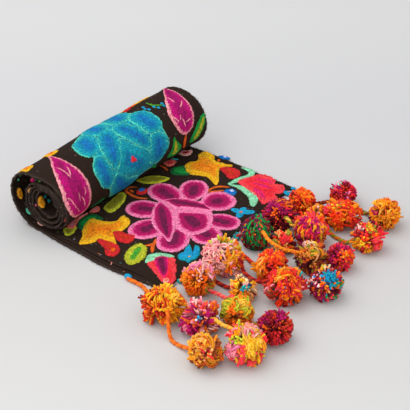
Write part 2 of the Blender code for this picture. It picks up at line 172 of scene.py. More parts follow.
def stepLengths(line):
    # from each of a run of points to the next
    return np.linalg.norm(np.diff(line, axis=0), axis=1)


def distances(line):
    # how far along a run of points each of them is
    return np.r_[0.0, np.cumsum(stepLengths(line))]


def evenSteps(curve, count, closed=False):
    # points at equal distances along a run of points, with any further columns carried; a
    # closed one is measured by its first two columns
    if closed:
        curve = np.vstack([curve, curve[:1]])
    gone = distances(curve[:, :2] if closed else curve)
    at = np.linspace(0.0, gone[-1], count + closed)[:count]
    return np.stack([np.interp(at, gone, column) for column in curve.T], axis=1)


def smoothRun(points, closed=False, parts=16):
    # Catmull-Rom curve: each span is a cubic through its two points, bent by the next ones
    p = np.asarray(points, float)
    if closed:
        a, b, c, d = (np.roll(p, k, 0) for k in (1, 0, -1, -2))
    else:
        p = np.vstack([2 * p[0] - p[1], p, 2 * p[-1] - p[-2]])
        a, b, c, d = p[:-3], p[1:-2], p[2:-1], p[3:]
    t = (np.arange(parts) / parts)[None, :, None]
    a, b, c, d = (q[:, None, :] for q in (a, b, c, d))
    curve = 0.5 * (2 * b + (c - a) * t + (2 * a - 5 * b + 4 * c - d) * t ** 2
                   + (3 * b - a - 3 * c + d) * t ** 3)
    curve = curve.reshape(-1, p.shape[1])
    return curve if closed else np.vstack([curve, p[-2]])


def gridFaces(rows, columns, wrap=False):
    # quads between neighbours of a grid of points numbered row by row
    i, j = np.meshgrid(np.arange(rows - 1), np.arange(columns if wrap else columns - 1),
                       indexing="ij")
    k = (j + 1) % columns
    quads = np.stack([i * columns + j, i * columns + k,
                      (i + 1) * columns + k, (i + 1) * columns + j], axis=-1)
    return quads.reshape(-1, 4)


def outward(points, faces):
    # faces turned round where the closed shape's signed volume is negative
    a, b, c, d = (points[faces[:, k]] for k in range(4))
    volume = (a * np.cross(b, c)).sum() + (a * np.cross(c, d)).sum()
    return faces if volume > 0 else faces[:, ::-1]


class Pile:
    # closed shapes gathered for one mesh: points, quads, a colour and a UV per corner
    def __init__(self):
        self.points, self.faces, self.colours, self.uvs, self.count = [], [], [], [], 0

    def add(self, points, faces, colours, uvs=None):
        # colours is one per face, uvs one per point
        points = points.reshape(-1, 3)
        turned = outward(points, faces)
        self.points.append(points)
        self.faces.append(turned + self.count)
        self.colours.append(np.repeat(colours, 4, axis=0))
        self.uvs.append(np.zeros((len(faces) * 4, 2)) if uvs is None
                        else uvs.reshape(-1, 2)[turned.ravel()])
        self.count += len(points)

    def make(self, name, finish, nodes=()):
        points = np.concatenate(self.points)
        faces = np.concatenate(self.faces)
        mesh = bpy.data.meshes.new(name)
        mesh.vertices.add(len(points))
        mesh.vertices.foreach_set("co", points.ravel())
        mesh.loops.add(faces.size)
        mesh.loops.foreach_set("vertex_index", faces.ravel().astype(np.int32))
        mesh.polygons.add(len(faces))
        mesh.polygons.foreach_set("loop_start", np.arange(0, faces.size, 4, dtype=np.int32))
        mesh.update(calc_edges=True)
        layer = mesh.attributes.new("yarn", "FLOAT_COLOR", "CORNER")
        colours = np.c_[np.concatenate(self.colours), np.ones(faces.size)]
        layer.data.foreach_set("color", colours.ravel())
        mesh.uv_layers.new(name="UVMap").data.foreach_set("uv", np.concatenate(self.uvs).ravel())
        work = bmesh.new()
        work.from_mesh(mesh)
        bmesh.ops.remove_doubles(work, verts=work.verts, dist=weld)
        work.to_mesh(mesh)
        work.free()
        mesh.shade_smooth()
        mesh.materials.append(finish)
        piece = bpy.data.objects.new(name, mesh)
        scene.collection.objects.link(piece)
        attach(piece, body)
        if nodes:
            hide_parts(*nodes)
        print(f"{name}: {len(mesh.polygons)} faces")
        return piece


# Finishes

def newFinish(name, roughness, sheen=0.0):
    finish = bpy.data.materials.new(name)
    finish.use_nodes = True
    shader = finish.node_tree.nodes["Principled BSDF"]
    shader.inputs["Roughness"].default_value = roughness
    shader.inputs["Specular IOR Level"].default_value = 0.25
    shader.inputs["Sheen Weight"].default_value = sheen
    shader.inputs["Sheen Roughness"].default_value = 0.5
    return finish, shader


def addNode(finish, kind, links=(), **values):
    # a node with its sockets set by name and linked from (socket, other node, its output)
    node = finish.node_tree.nodes.new(kind)
    for key, value in values.items():
        if hasattr(node, key):
            setattr(node, key, value)
        else:
            node.inputs[key.replace("_", " ")].default_value = value
    for socket, other, output in links:
        finish.node_tree.links.new(other.outputs[output], node.inputs[socket])
    return node


def link(finish, other, output, node, socket):
    finish.node_tree.links.new(other.outputs[output], node.inputs[socket])


def varied(finish, source, output, low, high, darkest, lightest):
    # a factor for the colour: low to high of a pattern becomes darkest to lightest
    node = addNode(finish, "ShaderNodeMapRange", [("Value", source, output)])
    for socket, value in (("From Min", low), ("From Max", high),
                          ("To Min", darkest), ("To Max", lightest)):
        node.inputs[socket].default_value = value
    return node


def combined(finish, operation, first, second):
    # two outputs, each a node and its output, put through one operation
    return addNode(finish, "ShaderNodeMath", [(0, *first), (1, *second)], operation=operation)


def towards(finish, factor, output, base, colour):
    # from a base, a colour or a node that gives one, to another colour by a factor
    mixed = addNode(finish, "ShaderNodeMixRGB", [(0, factor, output)])
    if isinstance(base, tuple):
        mixed.inputs[1].default_value = base
    else:
        link(finish, base, "Color", mixed, 1)
    mixed.inputs[2].default_value = colour
    return mixed


def raised(finish, shader, height, strength, distance):
    # the surface's light turned as if the height were there
    bump = addNode(finish, "ShaderNodeBump", [("Height", height, "Value")],
                   Strength=strength, Distance=distance)
    link(finish, bump, "Normal", shader, "Normal")


def tinted(finish, shader, factors):
    # the yarn colour of each face times every factor
    product = factors[0]
    for factor in factors[1:]:
        product = combined(finish, "MULTIPLY", (product, 0), (factor, 0))
    colour = addNode(finish, "ShaderNodeAttribute", attribute_name="yarn")
    mixed = addNode(finish, "ShaderNodeVectorMath",
                    [(0, colour, "Color"), ("Scale", product, 0)], operation="SCALE")
    link(finish, mixed, "Vector", shader, "Base Color")


def stitchedFinish():
    # loops of wool packed side by side: cells darkened towards their edges, a painted
    # shade in the gaps between loops, each cell lighter or darker than the next, over fine fibres
    finish, shader = newFinish("stitchedWool", 0.9)
    place = [("Vector", addNode(finish, "ShaderNodeTexCoord"), "Object")]
    loops = addNode(finish, "ShaderNodeTexVoronoi", place, Scale=560.0, Randomness=1.0)
    single = addNode(finish, "ShaderNodeSeparateColor", [("Color", loops, "Color")])
    fibres = addNode(finish, "ShaderNodeTexNoise", place, Scale=2600.0, Detail=3.0, Roughness=0.6)
    patchy = addNode(finish, "ShaderNodeTexNoise", place, Scale=260.0, Detail=2.0, Roughness=0.6)
    # the first factor darkens each cell towards its edge: painted shade between the loops
    tinted(finish, shader, [varied(finish, loops, "Distance", 0.25, 0.85, 1.10, 0.68),
                            varied(finish, single, "Red", 0.0, 1.0, 0.82, 1.16),
                            varied(finish, fibres, "Fac", 0.3, 0.7, 0.85, 1.12),
                            varied(finish, patchy, "Fac", 0.3, 0.7, 0.86, 1.12)])
    height = combined(finish, "SUBTRACT", (fibres, "Fac"), (loops, "Distance"))
    raised(finish, shader, height, 0.85, 0.0009)
    return finish


def strandFinish(name, roughness, sheen):
    # spun yarn of two plies: a slanting wave that fits twice round the strand (V) and
    # comes back every 2.5 mm along it (U), with fibres as fine noise
    finish, shader = newFinish(name, roughness, sheen)
    place = addNode(finish, "ShaderNodeTexCoord")
    slant = addNode(finish, "ShaderNodeMapping", [("Vector", place, "UV")], Scale=(200.0, 1.0, 1.0))
    plies = addNode(finish, "ShaderNodeTexWave", [("Vector", slant, "Vector")],
                    wave_type="BANDS", bands_direction="DIAGONAL", Scale=1.2566,
                    Distortion=0.6, Detail=1.0)
    fibres = addNode(finish, "ShaderNodeTexNoise", [("Vector", place, "Object")],
                     Scale=1900.0, Detail=3.0, Roughness=0.65)
    # the first factor darkens the wave's troughs: painted shade in the grooves between the plies
    tinted(finish, shader, [varied(finish, plies, "Fac", 0.0, 1.0, 0.80, 1.08),
                            varied(finish, fibres, "Fac", 0.3, 0.7, 0.84, 1.12)])
    height = combined(finish, "ADD", (plies, "Fac"), (fibres, "Fac"))
    raised(finish, shader, height, 0.5, 0.0004)
    return finish


# gap is painted shade between the threads, border a painted highlight on the cloth's rims
groundTones = {
    "gap": (0.0030, 0.0018, 0.0012, 1.0), "thread": (0.104, 0.064, 0.048, 1.0),
    "worn": (0.022, 0.0125, 0.0088, 1.0), "border": (0.120, 0.088, 0.074, 1.0),
    "fleck": (0.21, 0.155, 0.135, 1.0),
}


def groundFinish():
    # plain weave from the cloth's own measure: warp and weft as two crossing rows of bands,
    # thicker and thinner by noise, painted shade between the threads, faded a little where the nap is
    # worn
    finish, shader = newFinish("handwovenGround", 0.95)
    shader.inputs["Specular IOR Level"].default_value = 0.06
    measure = addNode(finish, "ShaderNodeTexCoord")
    place = [("Vector", measure, "UV")]
    sway = addNode(finish, "ShaderNodeTexNoise", place, Scale=190.0, Detail=4.0, Roughness=0.7)
    warp, weft = (addNode(finish, "ShaderNodeTexWave", place, wave_type="BANDS",
                          bands_direction=direction, Scale=size, Distortion=1.4, Detail=1.0,
                          Detail_Scale=3.0) for direction, size in (("X", 150.0), ("Y", 128.0)))
    cross = combined(finish, "MULTIPLY", (warp, "Fac"), (weft, "Fac"))
    # the tone falls to the gap tone between the threads: painted shade in the weave's gaps
    tone = towards(finish, cross, "Value", groundTones["gap"], groundTones["thread"])
    tone = towards(finish, sway, "Fac", tone, groundTones["worn"])
    # the borders are painted paler, a painted highlight where each layer's edge catches the
    # light, and light fibres stand out here and there
    half = runner["width"] / 2
    apart = addNode(finish, "ShaderNodeSeparateXYZ", [("Vector", measure, "UV")])
    fromMiddle = addNode(finish, "ShaderNodeMath", [(0, apart, "X")], operation="SUBTRACT")
    fromMiddle.inputs[1].default_value = half
    aside = addNode(finish, "ShaderNodeMath", [(0, fromMiddle, "Value")], operation="ABSOLUTE")
    inner, outer, palest = runner["paintedRimLight"]
    # painted highlight: paler towards both long borders
    paintedRimLight = varied(finish, aside, "Value", half - inner, half - outer, 0.0, palest)
    tone = towards(finish, paintedRimLight, "Result", tone, groundTones["border"])
    cells = addNode(finish, "ShaderNodeTexVoronoi", place, Scale=210.0, Randomness=1.0)
    pick = addNode(finish, "ShaderNodeSeparateColor", [("Color", cells, "Color")])
    few = varied(finish, pick, "Green", 0.80, 0.86, 0.0, 1.0)
    small = varied(finish, cells, "Distance", 0.16, 0.24, 0.8, 0.0)
    specks = combined(finish, "MULTIPLY", (few, "Result"), (small, "Result"))
    tone = towards(finish, specks, "Value", tone, groundTones["fleck"])
    link(finish, tone, "Color", shader, "Base Color")
    raised(finish, shader, cross, 0.8, 0.0008)
    return finish


stitched = stitchedFinish()
strands = strandFinish("pompomWool", 0.85, 0.04)
twisted = strandFinish("cordWool", 0.85, 0.04)
ground = groundFinish()


# The cloth's own surface

def rollLine(turn, y):
    # an oval that shrinks turn by turn round a moving middle; towards its ends its top
    # sinks by the square of the height and its front leans out, and where it meets the
    # surface it comes down to half the sheet's thickness
    halfX, halfZ, middleX, middleZ = (np.interp(turn, rollTable[:, 0], rollTable[:, k])
                                      for k in (1, 2, 3, 4))
    angle = 2 * math.pi * turn
    x = middleX - halfX * np.sin(angle)
    z = middleZ - halfZ * np.cos(angle)
    near = np.maximum(1 - y / slump["near"], 0.0) ** slump["power"]
    far = np.clip(1 - (runner["width"] - y) / slump["far"], 0.0, 1.0)
    down = slump["nearDown"] * near + slump["farDown"] * far
    meet = 0.5 * (runner["sheet"] - runner["hem"]) * (1 - smoothStep(*slump["meets"], turn))
    return (x + slump["nearOut"] * near * np.clip(x / rollTable[0, 1], 0.0, 1.0),
            z - down * (z / (2 * middleZ)) ** 2 + meet)


def rollNormal(turn, y):
    # away from the roll's axis, square to its line
    x0, z0 = rollLine(np.maximum(turn - turnStep, 0.0), y)
    x1, z1 = rollLine(turn + turnStep, y)
    n = unit(np.stack([z0 - z1, x1 - x0], axis=-1))
    return n[..., 0], n[..., 1]


def clothThickness(edge):
    # edge is the distance to the nearest border: a rounded border, a folded hem with a
    # sewn line, then the single cloth
    fold = runner["hemWidth"]
    inside = 1 - smoothStep(fold, fold + hem["step"], edge)
    thick = runner["sheet"] + (runner["hem"] - runner["sheet"]) * inside
    thick = thick - hem["seam"] * np.exp(-((edge - fold + hem["seamIn"]) / hem["seamWide"]) ** 2)
    half = runner["hem"] / 2
    rounding = np.sqrt(np.clip(1 - (1 - np.minimum(edge, half) / half) ** 2, 0.0, 1.0))
    return thick * rounding


def flatEdges(u):
    # where the flat part's near and far edges lie, by the distance along it
    near = -np.interp(u, edgeTable[:, 0], edgeTable[:, 1])
    far = runner["width"] + np.interp(u, edgeTable[:, 0], edgeTable[:, 2])
    return near, far


def flatEnd(v):
    # how long the flat part is, by the place across it: its end is askew
    return runner["endNear"] + runner["endSkew"] * np.clip(v, 0.0, runner["width"])


def flatAir(u, v):
    # how far the cloth's underside stands off the surface: a step up behind the near hem
    # and a slow double wave, both pressed flat under the roll
    edge = v - flatEdges(u)[0]
    behind = np.maximum(edge - air["rise"][1], 0.0)
    step = smoothStep(*air["rise"], edge) * np.exp(-behind / air["fall"])
    reach = smoothStep(*air["comes"], u) * (1 - air["gone"] * smoothStep(*air["goes"], u))
    alongWave, acrossWave = air["waves"]
    wave = 1 + (np.sin(u * 2 * math.pi / alongWave + 1.1)
                * np.cos(v * 2 * math.pi / acrossWave - 0.6))
    loose = smoothStep(*air["border"], edge) * smoothStep(*air["roll"], u)
    loose = loose * smoothStep(*air["border"], flatEnd(v) - u)
    return runner["ridge"] * step * reach + runner["wave"] * wave * loose


def onFlat(places, lift):
    # places in millimetres along and across the flat part, lift above its upper face
    u, v = places[..., 0] * mm, places[..., 1] * mm
    near, far = flatEdges(u)
    edge = np.minimum(np.minimum(v - near, far - v), flatEnd(v) - u)
    z = clothThickness(np.maximum(edge, hem["least"])) + flatAir(u, v) + lift
    return np.stack([u, v, np.maximum(z, hem["lowest"])], axis=-1) + corner


def rollDent(turn, y):
    # slack in the outer turn, none where it meets the surface: a wave across the roll
    # and one that slants round it
    hold = smoothStep(*slack["comes"], turn) * (1 - smoothStep(*slack["goes"], turn))
    return runner["dent"] * hold * (np.sin(y * 2 * math.pi / slack["wave"] + 0.4)
                                    + np.sin(turn * 9.0 + y * 31.0))


def onRoll(places, lift, face=1.0):
    # places in millimetres round and across the roll, lift beyond its outer face, or
    # beyond its inner face where face is -1
    turn, y = places[..., 0] * mm / aroundRoll, places[..., 1] * mm
    x, z = rollLine(turn, y)
    nx, nz = rollNormal(turn, y)
    out = face * (runner["sheet"] / 2 + lift) + rollDent(turn, y)
    return np.stack([x + nx * out, y, z + nz * out], axis=-1) + corner


def borderLumps(gone, edge, phase):
    # sine waves along the cloth that die away inside its border
    wave = sum(size * np.sin(gone * 2 * math.pi / length + shift * phase)
               for length, size, shift in lumps["waves"])
    return runner["lumps"] * wave * np.exp(-edge / lumps["depth"])


def farSide(share):
    # the far border's lumps start elsewhere than the near one's
    return (share > 0.5) * lumps["far"]


def rolledFaces(share):
    # the roll's two faces, half the thickness to each side of its middle along the
    # normal, from the cloth's inner end to where it meets the surface
    turn = np.r_[np.linspace(runner["turns"], 1.0, clothGrid["inner"])[:-1],
                 np.linspace(1.0, 0.0, clothGrid["outer"])[:-1]][:, None]
    near = -np.interp(turn, rollTable[:, 0], rollTable[:, 5])
    far = runner["width"] + np.interp(turn, rollTable[:, 0], rollTable[:, 6])
    y = near + (far - near) * share
    x, z = rollLine(turn, y)
    nx, nz = rollNormal(turn, y)
    middle = len(share) // 2
    gone = distances(np.stack([x[:, middle], z[:, middle]], axis=1))[:, None]
    edge = np.minimum(np.minimum(y - near, far - y), gone)
    half = clothThickness(edge) / 2
    dent = rollDent(turn, y) + borderLumps(gone, edge, lumps["face"] + farSide(share))
    y = y + borderLumps(gone, edge, lumps["side"] + farSide(share))
    faces = []
    for side in (1.0, -1.0):       # the roll's inner face carries on into the upper face
        out = dent - side * half
        faces.append(np.stack([x + nx * out, y, np.maximum(z + nz * out, 0.0)], axis=-1))
    return faces


def laidFaces(share, inwards):
    # the flat part's upper and lower faces, each line a share of its own length
    length = flatEnd(share * runner["width"])
    along = np.r_[np.linspace(0.0, clothGrid["even"], clothGrid["flat"]),
                  1 - inwards[::-1][:len(clothGrid["hem"])] / clothGrid["usual"]]
    u = np.minimum(along[:, None] * length, length)
    near, far = flatEdges(u)
    v = near + (far - near) * share
    edge = np.minimum(np.minimum(v - near, far - v), np.maximum(length - u, 0.0))
    thick = clothThickness(edge)
    whole = clothThickness(np.maximum(edge, runner["hem"] / 2))
    fade = smoothStep(0.0, lumps["starts"], u)
    base = flatAir(u, v) + 0.5 * (whole - thick)
    base = base + np.abs(borderLumps(u, edge, lumps["laid"] + farSide(share))) * fade
    v = v + borderLumps(u, edge, lumps["side"] + farSide(share)) * fade
    return [np.stack([u, v, base + thick], axis=-1), np.stack([u, v, base], axis=-1)]


def makeCloth():
    # two faces, each a function of the way along the cloth and the share across it; both
    # close on the same border
    inwards = np.r_[np.array(clothGrid["round"]) * runner["hem"] / 2, clothGrid["hem"]]
    inside = np.linspace(clothGrid["middle"], runner["width"] - clothGrid["middle"],
                         clothGrid["across"])
    share = np.r_[inwards, inside, runner["width"] - inwards[::-1]] / runner["width"]
    rolled, laid = rolledFaces(share), laidFaces(share, inwards)
    points = [np.concatenate([rolled[k], laid[k]]) + corner for k in range(2)]
    rows, columns = points[0].shape[:2]
    quads = gridFaces(rows, columns)
    faces = np.concatenate([quads, quads[:, ::-1] + rows * columns])
    # U across and V along, in metres of cloth
    gone = distances(points[0][:, columns // 2])
    uv = np.stack(np.meshgrid(gone, share * runner["width"], indexing="ij")[::-1], axis=-1)
    pile = Pile()
    pile.add(np.concatenate([p.reshape(-1, 3) for p in points]), faces,
             np.ones((len(faces), 3)), np.concatenate([uv.reshape(-1, 2)] * 2))
    cloth = pile.make("runnerCloth", ground, ["cloth"])
    print(f"cloth: {gone[-1]:.3f} m long")
    return cloth, gone[-1]


# Embroidery

# Rings of colour from the border inwards: the share of the way in where each begins
rings = {
    "petal": ((0, "paleRose"), (0.09, "rose"), (0.26, "hotPink"), (0.37, "magenta"),
              (0.70, "plum")),
    "heart": ((0, "paleRose"), (0.14, "rose"), (0.30, "hotPink"), (0.39, "magenta"),
              (0.72, "plum")),
    "roseBase": ((0, "paleRose"), (0.3, "rose")),
    "magentaLeaf": ((0, "leafEdge"), (0.2, "leafMagenta"), (0.62, "leafDeep")),
    "vein": ((0, "leafEdge"),),
    "blueLobe": ((0, "paleTeal"), (0.06, "turquoise"), (0.5, "azure"), (0.8, "blue")),
    "blueBase": ((0, "paleTeal"), (0.04, "turquoise"), (0.6, "azure")),
    "star": ((0, "starYellow"), (0.42, "starGold"), (0.88, "starOrange")),
    "darkLeaf": ((0, "darkGreen"), (0.5, "green")),
    "limeLeaf": ((0, "leafLime"), (0.42, "olive")),
    "greenLeaf": ((0, "green"), (0.45, "leafGreen"), (0.65, "lime")),
    "redBud": ((0, "red"), (0.7, "brick")),
    "seed": ((0, "lime"), (0.66, "leafGreen")),
    "berry": ((0, "coral"), (0.4, "scarlet")),
    "berryHeart": ((0, "fuchsia"), (0.22, "magenta"), (0.62, "plum")),
    "tulipStreak": ((0, "fuchsia"), (0.4, "hotPink")),
    "mint": ((0, "mint"),), "stem": ((0, "rust"),), "brownStem": ((0, "brown"), (0.4, "rust")),
    "tealLine": ((0, "teal"),), "cyan": ((0, "cyan"), (0.6, "turquoise")),
    "blueDot": ((0, "blue"), (0.6, "deepBlue")), "whiteDot": ((0, "skyWhite"),),
    "orangeDot": ((0, "orange"),), "pinkBud": ((0, "salmon"), (0.5, "coral")),
    "amberDot": ((0, "tuftAmber"), (0.6, "amber")), "greenLine": ((0, "leafGreen"),),
    "paleBud": ((0, "palePink"), (0.5, "coral"), (0.8, "darkRed")),
    "palePatch": ((0, "palePink"), (0.5, "salmon")), "peachPatch": ((0, "peach"),),
    "footPatch": ((0, "salmon"), (0.4, "pink")),
    "bow": ((0, "turquoise"), (0.3, "cyan")), "bowHeart": ((0, "olive"), (0.6, "cream")),
    "roseSpot": ((0, "scarlet"),), "rustSpot": ((0, "rust"), (0.5, "brick")),
    "mintSpot": ((0, "paleTeal"), (0.5, "mint")), "pinkSpot": ((0, "fuchsia"), (0.4, "pink")),
    "greenSpot": ((0, "green"),),
    "redSpot": ((0, "red"),),
    "coralFlower": ((0, "coral"), (0.3, "flame"), (0.5, "red"), (0.8, "darkRed")),
}

stitch = {
    "length": 1.42,           # millimetres along a row
    "row": 1.20,              # and from one ring of points to the next
    "high": 1.3,              # how far a filled shape stands over the cloth
    "ridge": 0.16,            # rounding of each row
    "uneven": 0.13,           # and how much higher or lower a stitch is
    "ragged": 1.05,           # how far the border's stitches stick out
    "most": 0.12,             # and at most this share of the shape's depth
    "blend": 0.045,           # how far two colours reach into each other
    "patchy": 0.12,           # how much lighter or darker two by two stitches are
    "single": 0.09,           # and each alone
    "spread": 2.5,            # between the places on a spine that stitches run to
    "skirt": (0.25, 0.55),    # how high the border starts and how soon it is full, in mm
    "under": 0.5,             # how far a shape reaches into the cloth
    "side": 0.6,              # how dark its skirt is: painted shade on the shape's side
    "around": (14, 170, 190), # fewest points round it, most with a path and with a loop
    "rows": (3, 24),          # fewest and most rings of points
    "line": 60,               # points along a path
}


def alongShape(path, width, base=0.5, tip=0.5, fat=0.5):
    # a border on both sides of a curved line: half width times sin(pi t^k) to a power
    # that runs from base to tip (0.5 round, 1 pointed), fattest at the share called fat
    line = evenSteps(smoothRun(path), stitch["line"])
    t = np.linspace(0.0, 1.0, stitch["line"])
    way = unit(np.gradient(line, axis=0))
    square = np.stack([-way[:, 1], way[:, 0]], axis=1)
    power = base + (tip - base) * t
    half = width / 2 * np.sin(math.pi * t ** (math.log(0.5) / math.log(fat))) ** power
    sides = [np.c_[line + square * half[:, None], t], np.c_[line - square * half[:, None], t][::-1]]
    loop = np.concatenate([sides[0], sides[1][1:-1]])
    inset = min(0.5, 0.5 * width / stepLengths(line).sum())
    return loop, line, inset


def shapeRings(item, scale):
    # the border as even points, and for each the place on the shape's spine it runs to
    fewest, mostPath, mostLoop = stitch["around"]
    if "path" in item:
        path = np.array(item["path"], float) * scale
        loop, line, inset = alongShape(path, item["width"], *item.get("ends", (0.5, 0.5, 0.5)))
        count = int(np.clip(stepLengths(loop[:, :2]).sum() / stitch["length"], fewest, mostPath))
        loop = evenSteps(loop, count, closed=True)
        places = max(1, round(stepLengths(line).sum() / stitch["spread"]))
        t = np.clip(loop[:, 2], inset, 1 - inset)
        t = np.clip(np.round(t * places) / places, inset, 1 - inset) if inset < 0.5 else t * 0 + 0.5
        share = np.linspace(0, 1, stitch["line"])
        return loop[:, :2], np.stack([np.interp(t, share, c) for c in line.T], axis=1)
    loop = smoothRun(np.array(item["loop"], float) * scale, closed=True)
    count = int(np.clip(stepLengths(loop).sum() / stitch["length"], fewest, mostLoop))
    loop = evenSteps(loop, count, closed=True)
    if "spine" not in item:
        return loop, np.repeat(loop.mean(0)[None], len(loop), 0)
    a, b = np.array(item["spine"], float) * scale
    t = np.clip(((loop - a) @ (b - a)) / ((b - a) @ (b - a)), 0.0, 1.0)
    places = max(1, round(np.linalg.norm(b - a) / stitch["spread"]))
    t = np.round(t * places) / places
    return loop, a + t[:, None] * (b - a)


def stitchShape(pile, item, place, scale, dice):
    # rings from the border to the spine: P = border + (spine - border) * share, raised by
    # a rounded skirt, a ridge for each row of stitches and a little unevenness
    loop, spine = shapeRings(item, scale)
    count = len(loop)
    depth = np.linalg.norm(spine - loop, axis=1)
    outwards = unit(loop - spine)
    ragged = dice.uniform(-1.0, 1.0, count)[:, None]
    ragged = ragged * min(stitch["ragged"], stitch["most"] * depth.max())
    rowCount = int(np.clip(math.ceil(depth.max() / stitch["row"]), *stitch["rows"]))
    share = np.linspace(0.0, 1.0, rowCount + 1)[:, None, None]
    flat = loop + outwards * ragged * item.get("ragged", 1.0)
    grid = flat[None] + (spine - flat)[None] * share
    inMm = depth[None, :] * share[..., 0]
    start, soon = stitch["skirt"]
    height = item.get("high", stitch["high"]) * (1 - np.exp(-(inMm + start) / soon))
    height = height + stitch["ridge"] * np.cos(np.arange(rowCount + 1) * math.pi)[:, None]
    height[1:-1] += dice.normal(0.0, stitch["uneven"], (rowCount - 1, count))
    height[-1] = height[-1].mean()
    top = place(grid, (height + item.get("lift", 0.0)) * mm)
    under = place(np.stack([spine, flat]), np.full((2, count), -stitch["under"] * mm))
    points = np.concatenate([under, top])
    faces = gridFaces(rowCount + 3, count, wrap=True)
    # each stitch takes the colour of the ring it lies in, with a ragged change between
    middle = (np.arange(rowCount) + 0.5)[:, None] / rowCount
    middle = middle + dice.normal(0.0, stitch["blend"], (rowCount, count)) * item.get("blend", 1.0)
    middle[0] = 0.0
    bands = rings[item["rings"]]
    starts = np.array([b[0] for b in bands])
    tones = np.array([linear(b[1]) for b in bands])
    which = np.clip(np.searchsorted(starts, middle.ravel(), side="right") - 1, 0, len(bands) - 1)
    shade = dice.normal(1.0, stitch["patchy"], (rowCount // 2 + 1, count // 2 + 1))
    shade = np.kron(shade, np.ones((2, 2)))[:rowCount, :count]
    shade = shade * dice.normal(1.0, stitch["single"], (rowCount, count))
    colours = tones[which] * shade.reshape(-1, 1).clip(*dye["shades"])
    # the skirt's faces take the outer colour darkened: painted shade on the shape's side
    dark = np.repeat(tones[:1] * stitch["side"], 2 * count, axis=0)
    pile.add(points, faces, np.concatenate([dark, colours]))


def along(path, width, rings, ends=(0.5, 0.5, 0.5), **more):
    # a shape to both sides of a line; its ends are base, tip and fat of alongShape
    return dict(path=path, width=width, rings=rings, ends=ends, **more)


def around(loop, rings, **more):
    # a shape inside a loop, worked towards its spine or its middle
    return dict(loop=loop, rings=rings, **more)


def vein(path, width=3.2):
    return along(path, width, "vein", lift=0.35, high=1.4)


def streak(path, width):
    return along(path, width, "tulipStreak", pointed, lift=0.3, blend=6.0)


def lobe(loop, spine, lift=0.25):
    return around(loop, "blueLobe", spine=spine, lift=lift, blend=2.6)


def star(loop, spine, **more):
    return around(loop, "star", spine=spine, **more)


def tuft(first, last, across, width, rings, lift, **more):
    # work along the cloth at one place across it
    return along(((first, across), (last, across)), width, rings, lift=lift, **more)


pointed = (0.95, 0.95, 0.5)
teardrop = (0.45, 0.95, 0.42)
egg = (0.5, 0.42, 0.56)

# The big pink flower of the flat part, in millimetres along and across it
pinkFlower = [
    *(along(path, width, "petal", egg) for width, *path in (
        (46, (112, 180), (48, 194)), (44, (121, 192), (90, 246)), (52, (143, 190), (161, 244)),
        (42, (163, 171), (217, 187)), (46, (163, 148), (218, 130)), (47, (151, 132), (179, 71)),
        (49, (126, 131), (114, 70)), (48, (112, 147), (56, 125)))),
    around(((92, 163), (99, 176), (122, 196), (150, 198), (165, 188), (184, 158), (184, 136),
            (174, 124), (152, 120), (140, 113), (122, 120), (100, 142)), "roseBase",
           spine=((120, 158), (158, 150)), lift=0.3, high=1.0),
    around(((88, 167), (96, 181), (108, 193), (124, 199), (142, 200), (164, 192), (151, 186),
            (136, 179), (124, 171), (119, 163), (107, 165), (97, 168)), "heart",
           spine=((101, 177), (146, 192)), lift=0.65, blend=0.6),
    around(((123, 156), (132, 168), (142, 174), (154, 182), (166, 188), (178, 174), (189, 156),
            (190, 143), (186, 132), (178, 121), (165, 121), (151, 125), (137, 140)), "heart",
           spine=((147, 155), (168, 148)), lift=0.7, blend=0.6),
    around(((86, 165), (104, 162), (125, 153), (143, 133), (158, 110), (166, 91), (148, 97),
            (126, 105), (110, 118), (94, 139)), "heart",
           spine=((102, 148), (148, 106)), lift=0.9, blend=0.6),
]

